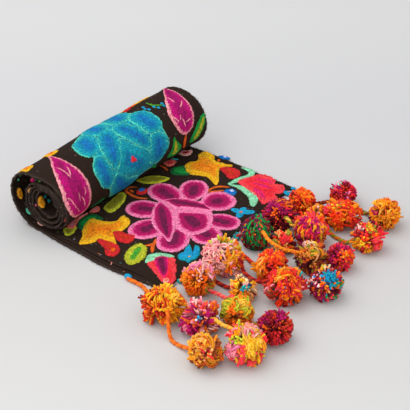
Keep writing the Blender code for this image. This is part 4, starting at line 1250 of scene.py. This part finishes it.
def cutYarn(cut, mix, radius, dice):
    # strands from a root on a small ball: P = root + t * length * way + t^2 * bend, where
    # way and bend are drawn to those of the strand's clump and the length is what brings
    # the tip to the clump's reach
    shape = pompomCuts[cut]
    size = radius / pompomShape["usual"]
    count, clumpCount = int(shape["strands"] * size ** 1.6), int(shape["clumps"] * size ** 1.2)
    clumps = evenWays(clumpCount, dice)
    lean = unit(np.cross(clumps, dice.normal(0.0, 1.0, clumps.shape)))
    lean = lean * dice.uniform(0.2, 1.0, (clumpCount, 1)) * shape["lean"]
    curl = unit(np.cross(clumps, dice.normal(0.0, 1.0, clumps.shape))) * shape["curl"]
    reach = dice.uniform(*shape["reach"], clumpCount)
    tone = chooseColours(mix, clumps, dice)
    inner = evenWays(count, dice)
    near = inner @ clumps.T + dice.normal(0.0, pompomShape["join"], (count, clumpCount))
    member = near.argmax(1)
    gather = shape["gather"]
    root = unit(inner * (1 - gather) + clumps[member] * gather) * pompomShape["root"]
    way = unit(inner + lean[member] + dice.normal(0.0, pompomShape["shake"], inner.shape))
    away = (root * way).sum(1)
    few, further = pompomShape["stray"]
    tip = reach[member] * dice.uniform(*pompomShape["tips"], count)
    tip = tip * (1 + further * (dice.random(count) < few))
    length = np.sqrt(tip ** 2 - pompomShape["root"] ** 2 + away ** 2) - away
    t = np.linspace(0.0, 1.0, len(pompomShape["taper"]))[None, :, None]
    bend = unit(np.cross(way, dice.normal(0.0, 1.0, way.shape)))
    bend = bend * dice.uniform(0.0, pompomShape["bow"], (count, 1)) + curl[member]
    lines = (root[:, None] + way[:, None] * length[:, None, None] * t + bend[:, None] * t * t) * radius
    shared = dice.random(count) < pompomShape["shared"]
    own = np.where(shared, tone[member], chooseColours(mix, inner, dice))
    lightness, hue = pompomShape["tone"]
    colours = mix[0][own] * dice.normal(1.0, lightness, (count, 1)).clip(0.6, 1.45)
    colours = colours * dice.normal(1.0, hue, (count, 3))
    radii = pompomShape["strand"] * shape["thick"] * np.array(pompomShape["taper"])[None]
    return lines, radii * dice.uniform(0.82, 1.18, (count, 1)), colours


def woundYarn(side, twist, count, dice):
    # strands laid over the ball from end to end of an axis: the angle from the axis
    # grows evenly and the turn round it by twist
    axis = screenWay(side)
    a = unit(np.cross(axis, (0.3, 0.5, 0.8)))
    b = np.cross(axis, a)
    t = np.linspace(0.0, 1.0, 8)[None, :]
    polar = 0.30 + dice.uniform(-0.12, 0.12, (count, 1)) + t * dice.uniform(1.7, 2.4, (count, 1))
    turn = dice.uniform(0.0, 2 * math.pi, (count, 1)) + t * twist + 0.06 * np.sin(t * 9)
    ways = (np.cos(polar)[..., None] * axis + np.sin(polar)[..., None]
            * (np.cos(turn)[..., None] * a + np.sin(turn)[..., None] * b))
    away = dice.uniform(0.84, 0.99, (count, 1)) * (1 + 0.03 * np.sin(t * 7 + turn))
    return ways * away[..., None]


def sweptYarn(side, spread, count, dice):
    # strands that start near one place and lie over the ball along one way: an arc from
    # the start towards the way, lifting off a little
    start = unit(screenWay(side[:3]) + dice.normal(0.0, 0.45 * spread, (count, 3)))
    go = unit(rightWay * side[3] + upWay * side[4] + dice.normal(0.0, 0.25, (count, 3)))
    go = unit(go - (start * go).sum(1, keepdims=True) * start)
    t = np.linspace(0.0, 1.0, 7)[None, :, None]
    angle = t * dice.uniform(0.45, 0.95, (count, 1, 1))
    away = 0.84 + t * dice.uniform(0.04, 0.26, (count, 1, 1))
    away = away + 0.05 * np.sin(t * 5 + start[:, None, :1] * 9)
    return (start[:, None] * np.cos(angle) + go[:, None] * np.sin(angle)) * away


def burstYarn(side, spread, count, dice):
    # strands that fan out from one place on the ball
    centre = screenWay(side)
    way = unit(centre * 0.7 + dice.normal(0.0, spread, (count, 3)))
    bend = dice.normal(0.0, 0.07, (count, 1, 3))
    t = np.linspace(0.0, 1.0, 4)[None, :, None]
    return centre * 0.62 + way[:, None] * t * dice.uniform(0.38, 0.56, (count, 1, 1)) + bend * t * t


def loopedYarn(side, spread, count, dice):
    # uncut loops: half rings that stand on the ball
    way = unit(screenWay(side) + dice.normal(0.0, 0.5 * spread, (count, 3)))
    across = unit(np.cross(way, dice.normal(0.0, 1.0, way.shape)))
    t = np.linspace(-0.15, math.pi + 0.15, 9)[None, :, None]
    wide = dice.uniform(0.15, 0.32, (count, 1, 1))
    return (way[:, None] * (0.80 + dice.uniform(0.22, 0.40, (count, 1, 1)) * np.sin(t))
            + across[:, None] * wide * np.cos(t))


# for what lies over the cut yarn: how its lines are made, a strand's thickness over the
# usual one, the range that varies in, and how dark the yarn is at its start (painted shade)
overCuts = {
    "wind": (woundYarn, 1.15, (0.85, 1.2), 0.85),
    "sweep": (sweptYarn, 1.2, (0.85, 1.15), 0.85),
    "loops": (loopedYarn, 1.15, (0.9, 1.15), 0.85),
    "burst": (burstYarn, np.linspace(0.8, 1.35, 4), (0.85, 1.15), 0.5),
}


def longWay(heading):
    # the direction that a pompom is longer in
    if heading is None:
        return np.array((0.0, 0.0, 1.0))
    angle = math.radians(heading)
    return np.array((math.cos(angle), math.sin(angle), 0.0))


def makePompom(name, seed):
    x, y, radius, long, heading, cut, mix, *over = pompoms[name]
    dice = np.random.default_rng(seed + 40)
    mix = readMix(mix)
    middle = np.array((x, y, radius * pompomShape["middle"])) + corner
    axis = longWay(heading)
    stretch = np.eye(3) + (long - 1) * np.outer(axis, axis)
    pile = Pile()
    # packed yarn inside: a ball with a rough surface, painted dark as the shade deep in the pompom
    rows, sides = pompomShape["ball"]
    theta = np.linspace(0.0, math.pi, rows)
    phi = np.linspace(0.0, 2 * math.pi, sides + 1)[:-1]
    ball = np.stack([np.outer(np.sin(theta), np.cos(phi)), np.outer(np.sin(theta), np.sin(phi)),
                     np.outer(np.cos(theta), np.ones(sides))], axis=-1)
    rough = dice.uniform(0.94, 1.06, (rows, sides, 1))
    rough[0], rough[-1] = rough[0, 0], rough[-1, 0]
    core = ball * rough * radius * pompomShape["core"] @ stretch + middle
    tones = mix[0][chooseColours(mix, unit(ball[:-1].reshape(-1, 3)), dice)]
    pile.add(core, gridFaces(rows, sides, wrap=True), tones * pompomShape["coreShade"])
    parts = [(*cutYarn(cut, mix, radius, dice), pompomShape["coreShade"])]
    for kind, names, side, spread, count in over:
        linesOf, thick, vary, root = overCuts[kind]
        lines = linesOf(side, spread, count, dice) * radius
        radii = np.full(lines.shape[:2], pompomShape["strand"] * thick)
        radii = radii * dice.uniform(*vary, (count, 1))
        parts.append((lines, radii, yarnShades(names, count, dice), root))
    for lines, radii, colours, root in parts:
        addStrands(pile, lines @ stretch + middle, radii, colours, root)
    return pile.make("pompomYarn_" + name, strands, ["pompom_" + name])


# Cords

cord = {
    "radius": 0.0028, "lay": 0.0125, "ply": 0.00215, "plyOut": 0.00085,
    "entrySlope": -0.42, "head": 0.80, "lip": 1.12, "gap": 0.0004, "shortSpan": 4,
    "knot": (0.178, -0.0100), "lead": (0.0030, -0.0020),
    "sewn": 0.003, "tucked": 0.004,       # how far it goes into the hem or a pompom
    "step": 0.0012, "sides": 10,          # from ring to ring of a ply, and points round it
}
# what each leaves (a pompom, or its place across the end edge), the places it passes,
# where it ends, the yarns of its two plies, and how steeply it leaves and arrives
cords = (
    ("side", ((0.205, -0.0130), (0.228, -0.0230)), "yellow_flame", "rope ropeDark"),
    ("yellow_flame", ((0.312, -0.0790),), "golden_brown", "rope ropeDark", (0.25, -0.42)),
    (0.008, ((0.262, 0.0000), (0.290, -0.0150)), "magenta_white", "rust orange"),
    ("magenta_white", ((0.362, -0.0400, 0.028),), "pink_yellow", "straw strawDark", (0.38, 0.40)),
    (0.028, (), "orange_pink", "orange gold"),
    ("orange_pink", ((0.304, 0.0270, 0.011), (0.326, 0.0170, 0.020)), "lime_loops", "coral salmon",
     (-0.42, 1.0)),
    ("lime_loops", (), "dark_red", "olive rust"),
    (0.053, ((0.268, 0.0570), (0.292, 0.0560)), "teal_mix", "brick darkRed"),
    (0.087, (), "pink_orange", "coral orange"),
    ("pink_orange", ((0.302, 0.0860, 0.013), (0.326, 0.0815, 0.012)), "orange_dots", "darkRed brick",
     (0.28, -0.1)),
    (0.126, ((0.268, 0.1290), (0.290, 0.1220)), "orange_red", "flame brick"),
    (0.162, (), "forest_mix", "plum brick"),
    ("forest_mix", ((0.298, 0.1470, 0.031), (0.320, 0.1470, 0.027)), "yellow_brown",
     "saffron saffronDark", (0.52, 0.3)),
    ("yellow_brown", (), "blue_mix", "brown tan"),
    (0.190, ((0.262, 0.1910), (0.276, 0.1870)), "red_star", "red brick"),
    ("red_star", ((0.345, 0.1890),), "dark_magenta", "wine darkRed"),
    (0.216, (), "purple_orange", "magenta wine"),
    ("purple_orange", ((0.292, 0.2040, 0.030),), "magenta_flame", "straw olive", (0.4, 0.2)),
    (0.246, ((0.262, 0.2500), (0.276, 0.2570)), "small_yellow", "tan olive"),
    ("small_yellow", ((0.338, 0.2480), (0.360, 0.2460)), "red_yellow", "olive rust"),
    (0.273, (), "red_orange", "red flame"),
    ("red_orange", (), "magenta_berry", "darkRed brown"),
    ("magenta_berry", ((0.338, 0.3260),), "far_amber", "brown olive"),
    (0.303, ((0.262, 0.3040), (0.292, 0.2990)), "long_orange", "orange flame"),
)


def pompomExit(name, towards, slope):
    # where a cord comes out of a pompom, and where it clears the strands
    x, y, radius, long, heading = pompoms[name][:5]
    middle = np.array((x, y, radius * pompomShape["middle"]))
    flat = unit(np.array(towards[:2]) - middle[:2])
    way = unit(np.array((*flat, slope)))
    axis = longWay(heading)
    stretched = way + (long - 1) * axis * (axis @ way)
    start = middle + stretched * radius * cord["head"] + way * cord["gap"]
    lip = middle + stretched * radius * cord["lip"]
    lip[2] = max(lip[2], cord["radius"])
    return start, lip


def cordRoute(start, via, end, slopes):
    # a cord's points: out of the hem or a pompom, over the places it passes, and into
    # the next pompom; straight across where the two are close
    floor = [np.array((*spot, cord["radius"])[:3]) for spot in via]
    target = np.array(pompoms[end][:2])
    if start == "side":
        knot = np.array((*cord["knot"], cord["radius"]))
        leave = [knot, knot + np.array((*cord["lead"], 0.0))]
    elif isinstance(start, float):
        edge = flatEnd(start) + cord["radius"] * math.sin(abs(runner["endSkew"])) + cord["gap"]
        leave = [np.array((edge, start, cord["radius"])),
                 np.array((edge + cord["radius"], start, cord["radius"]))]
    else:
        leave = list(pompomExit(start, floor[0] if floor else target, slopes[0]))
    arrive = list(pompomExit(end, floor[-1] if floor else leave[0], slopes[1]))
    gap = np.linalg.norm(leave[-1] - arrive[-1])
    if not floor and gap < cord["radius"] * cord["shortSpan"]:
        return [leave[0], (leave[-1] + arrive[-1]) / 2, arrive[0]]
    return [*leave, *floor, *arrive[::-1]]


def makeCord(number, row):
    # two plies wound round the route: each a tube whose middle turns once in every lay,
    # closed by a fan of thin quads where it starts and stops
    start, via, end, colours, *slopes = row
    slopes = slopes[0] if slopes else (cord["entrySlope"], cord["entrySlope"])
    dice = np.random.default_rng(900 + number)
    path = smoothRun(cordRoute(start, via, end, slopes), parts=12)
    sewn = isinstance(start, float) or start == "side"
    tuck = cord["sewn" if sewn else "tucked"]
    path = np.vstack([path[0] - unit(path[1] - path[0]) * tuck, path,
                      path[-1] + unit(path[-1] - path[-2]) * cord["tucked"]])
    path = evenSteps(path, max(6, int(stepLengths(path).sum() / cord["step"])))
    gone = distances(path)
    way = unit(np.gradient(path, axis=0))
    side = unit(np.cross(way, (0.0, 0.0, 1.0)))
    up = np.cross(side, way)
    angle = np.arange(cord["sides"]) * 2 * math.pi / cord["sides"]
    pile = Pile()
    for ply, colour in enumerate(colours.split()):
        turn = 2 * math.pi * gone / cord["lay"] + math.pi * ply
        middle = path + cord["plyOut"] * (side * np.cos(turn)[:, None] + up * np.sin(turn)[:, None])
        thick = cord["ply"] * (1 + 0.06 * np.sin(gone * 2100 + ply))
        thick[0] = thick[-1] = 0.0
        rings = middle[:, None] + thick[:, None, None] * (
            side[:, None] * np.cos(angle)[None, :, None] + up[:, None] * np.sin(angle)[None, :, None])
        rings[..., 2] = np.maximum(rings[..., 2] + 0.0002, floorGap)
        faces = gridFaces(len(path), cord["sides"], wrap=True)
        shade = np.repeat(dice.normal(1.0, 0.08, len(path) - 1), cord["sides"])[:, None]
        uv = np.stack(np.broadcast_arrays(gone[:, None], angle[None, :] / (2 * math.pi)), axis=-1)
        pile.add(rings + corner, faces, linear(colour)[None] * shade, uv)
    return pile.make(f"cordYarn_{number:02d}", twisted, [f"cord_{number:02d}"])


hemKnot = {
    "side": (0.1765, -0.0085, 0.0036), "sideSize": (0.0058, 0.0042, 0.0034),
    "out": 0.001, "high": 0.0030, "size": (0.0042, 0.0036, 0.0029),
    "rings": 17, "sides": 16, "wraps": 7, "deep": 0.06,
}


def makeKnots():
    # a wrapped knot where each cord is sewn to the hem: an egg with rounded wraps
    dice = np.random.default_rng(77)
    pile = Pile()
    rings, sides = hemKnot["rings"], hemKnot["sides"]
    theta = np.linspace(0.0, math.pi, rings)
    phi = np.arange(sides) * 2 * math.pi / sides
    wrap = np.cos(np.linspace(0, 2 * hemKnot["wraps"] * math.pi, rings))[:, None]
    ring = np.sin(theta)[:, None] * (1 + hemKnot["deep"] * wrap)
    wound = np.stack([np.repeat(np.cos(theta)[:, None], sides, 1), ring * np.cos(phi),
                      ring * np.sin(phi)], axis=-1)
    for start, *_ in cords:
        if start == "side":
            middle, size, colour = hemKnot["side"], hemKnot["sideSize"], "cyan"
        elif isinstance(start, float):
            middle = (flatEnd(start) + hemKnot["out"], start, hemKnot["high"])
            size, colour = hemKnot["size"], ("teal", "cyan")[int(start * 1000) % 2]
        else:
            continue
        knot = wound * np.array(size) + np.array(middle)
        knot[..., 2] = np.maximum(knot[..., 2], floorGap)
        shade = np.repeat(dice.normal(1.0, 0.1, rings - 1), sides)[:, None]
        pile.add(knot + corner, gridFaces(rings, sides, wrap=True), linear(colour)[None] * shade)
    return pile.make("hemKnots", stitched)


# Loose fibres round the cloth's border

fuzz = {"fibres": 3000, "length": (0.0008, 0.0028), "thick": 0.00017, "sideways": 0.8,
        "colours": "fibre fibreDark fibreDark fibreDark",
        "side": 0.45, "end": 0.1,             # shares on each long border and on the end
        "root": 0.0006, "height": (0.0006, 0.0024), "aside": 0.0011}


def borderPlaces(dice):
    # where the fibres start and which way is out of the border there: the two long
    # borders round the roll and along the flat part, by their length, then the end
    turns = np.linspace(0.0, runner["turns"], 900)
    gone = distances(np.stack(rollLine(turns, 0.5 * runner["width"]), axis=1))
    rolled = gone[-1]
    starts, outs = [], []
    for column, y0, way in ((5, 0.0, -1.0), (6, runner["width"], 1.0)):
        place = dice.uniform(0.0, rolled + runner["endNear"], int(fuzz["side"] * fuzz["fibres"]))
        turn = np.interp(place[place < rolled], gone, turns)
        proud = np.interp(turn, rollTable[:, 0], rollTable[:, column])
        y = y0 + way * (proud - fuzz["root"])
        x, z = rollLine(turn, y)
        nx, nz = rollNormal(turn, y)
        aside = dice.uniform(-fuzz["aside"], fuzz["aside"], len(turn))
        starts.append(np.stack([x + nx * aside, y, z + nz * aside], axis=-1))
        u = place[place >= rolled] - rolled
        v = flatEdges(u)[column - 5] - way * fuzz["root"]
        z = dice.uniform(*fuzz["height"], len(u)) + flatAir(u, v)
        starts.append(np.stack([u, v, z], axis=-1))
        outs.append(np.tile((0.0, way, 0.0), (len(place), 1)))
    v = dice.uniform(0.0, runner["width"], int(fuzz["end"] * fuzz["fibres"]))
    z = dice.uniform(*fuzz["height"], len(v))
    starts.append(np.stack([flatEnd(v) - fuzz["root"], v, z], axis=-1))
    outs.append(np.tile((1.0, 0.0, 0.0), (len(v), 1)))
    return np.concatenate(starts), np.concatenate(outs)


def makeFuzz():
    # short bent strands: P = start + (t * way + t^2 * bend) * reach, where way points out
    # of the border and a little to either side
    dice = np.random.default_rng(51)
    starts, outs = borderPlaces(dice)
    count = len(starts)
    way = unit(outs + dice.normal(0.0, fuzz["sideways"], (count, 3)) * (1 - 0.6 * np.abs(outs)))
    t = np.linspace(0.0, 1.0, 3)[None, :, None]
    reach = dice.uniform(*fuzz["length"], (count, 1, 1))
    bend = dice.normal(0.0, 0.35, (count, 1, 3))
    lines = starts[:, None] + (way[:, None] * t + bend * t * t) * reach + corner
    radii = np.full((count, 3), fuzz["thick"]) * dice.uniform(0.8, 1.6, (count, 1))
    pile = Pile()
    addStrands(pile, lines, radii, yarnShades(fuzz["colours"], count, dice))
    return pile.make("borderFuzz", strands)


# Putting it together

cloth, clothLength = makeCloth()
work = [
    embroider("pinkFlower", pinkFlower, onFlat, (1.0, 1.0), 1),
    embroider("flatGarden", flatGarden, onFlat, (1.0, 1.0), 2),
    embroider("blueFlower", blueFlower, onRoll, (aroundRoll, 1.0), 3),
    embroider("rollGarden", rollGarden, onRoll, (aroundRoll, 1.0), 4),
    embroider("backFlower", backFlower(), onRoll, (aroundRoll, 1.0), 5),
    embroider("insideTufts", insideTufts, onInside, (aroundRoll, 1.0), 6),
    embroider("outsideTufts", outsideTufts, onRoll, (aroundRoll, 1.0), 7),
]
knots = makeKnots()
loose = makeFuzz()
print("embroidery done")
for seed, pompomName in enumerate(pompoms):
    makePompom(pompomName, seed)
print("pompoms done")
for number, row in enumerate(cords, start=1):
    makeCord(number, row)
print("cords done")


# Floor, light and camera

studio = {
    "floor": (0.549, 0.547, 0.546), "world": 1.04,
    # how far along the paper, and its red, green and blue there: painted light and shade
    "paper": ((0.19, 1.00, 1.00, 0.99), (1.0, 1.03, 1.03, 1.03), (0.29, 0.965, 0.955, 0.95),
              (0.35, 0.935, 0.93, 0.93), (0.425, 0.955, 0.95, 0.96), (0.525, 0.935, 0.94, 0.97),
              (0.60, 0.955, 0.96, 0.98), (0.73, 1.01, 1.015, 1.02)),
    "from": -0.8, "to": 1.2,              # how far away the paper's tones start and end
    "bend": 1.2, "back": 2.2, "side": 6.0,
    "aim": (0.05, 0.0, 0.03),
    # power, size and place of each lamp
    "keyLight": (35.0, 2.8, (-1.0, -0.3, 2.4)), "fillLight": (16.5, 2.4, (0.4, -2.2, 1.1)),
}


def makeFloor():
    # a sheet of paper that runs back and curls up behind in a quarter circle; its tone
    # changes slowly with the distance away from the camera's side, a painted fall-off of the light
    bend, back, side = studio["bend"], studio["back"], studio["side"]
    curl = np.linspace(0.1, math.pi / 2, 14)
    run = np.r_[-4.0, np.linspace(-3.0, back, 12), back + bend * np.sin(curl), back + bend]
    rise = np.r_[np.zeros(13), bend * (1 - np.cos(curl)), side]
    across = np.linspace(-side, side, 9)
    level = -backWay[:2] / np.linalg.norm(backWay[:2])
    points = np.zeros((len(run), 9, 3))
    points[..., :2] = run[:, None, None] * level + across[None, :, None] * rightWay[:2]
    points[..., 2] = rise[:, None]
    mesh = bpy.data.meshes.new("paperFloor")
    faces = gridFaces(len(run), 9)
    mesh.from_pydata(points.reshape(-1, 3).tolist(), [], faces[:, ::-1].tolist())
    mesh.shade_smooth()
    finish, shader = newFinish("paper", 0.9)
    place = addNode(finish, "ShaderNodeTexCoord")
    away = addNode(finish, "ShaderNodeVectorMath", [(0, place, "Object")],
                   operation="DOT_PRODUCT")
    away.inputs[1].default_value = (*level, 0.0)
    share = varied(finish, away, "Value", studio["from"], studio["to"], 0.0, 1.0)
    tone = addNode(finish, "ShaderNodeValToRGB", [("Fac", share, "Result")])
    stops = tone.color_ramp.elements
    # the stops paint the light's fall-off along the paper
    for k, (at, red, green, blue) in enumerate(studio["paper"]):
        stop = stops[k] if k < 2 else stops.new(at)
        stop.position = at
        stop.color = (*(c * x for c, x in zip(studio["floor"], (red, green, blue))), 1.0)
    link(finish, tone, "Color", shader, "Base Color")
    mesh.materials.append(finish)
    floor = bpy.data.objects.new("paperFloor", mesh)
    scene.collection.objects.link(floor)


def makeLight(name):
    power, size, place = studio[name]
    light = bpy.data.lights.new(name, "AREA")
    light.energy = power
    light.shape = "DISK"
    light.size = size
    lamp = bpy.data.objects.new(name, light)
    lamp.location = place
    aim = Vector(studio["aim"]) - Vector(place)
    lamp.rotation_euler = aim.to_track_quat("-Z", "Y").to_euler()
    scene.collection.objects.link(lamp)


def makeCamera():
    data = bpy.data.cameras.new("camera")
    data.sensor_width = view["sensor"]
    data.lens = view["focal"] * view["sensor"] / view["frame"]
    data.clip_end = 40.0
    camera = bpy.data.objects.new("camera", data)
    eye = (backWay * view["distance"] + rightWay * view["shiftRight"]
           + upWay * view["shiftUp"] + corner)
    camera.location = eye
    camera.rotation_euler = (math.pi / 2 - viewTilt, 0.0, viewTurn)
    scene.collection.objects.link(camera)
    scene.camera = camera


makeFloor()
makeLight("keyLight")
makeLight("fillLight")
world = bpy.data.worlds.new("studioAir")
world.use_nodes = True
world.node_tree.nodes["Background"].inputs["Color"].default_value = (1.0, 1.0, 1.0, 1.0)
world.node_tree.nodes["Background"].inputs["Strength"].default_value = studio["world"]
scene.world = world
scene.view_settings.view_transform = "Standard"
makeCamera()
print("studio done")
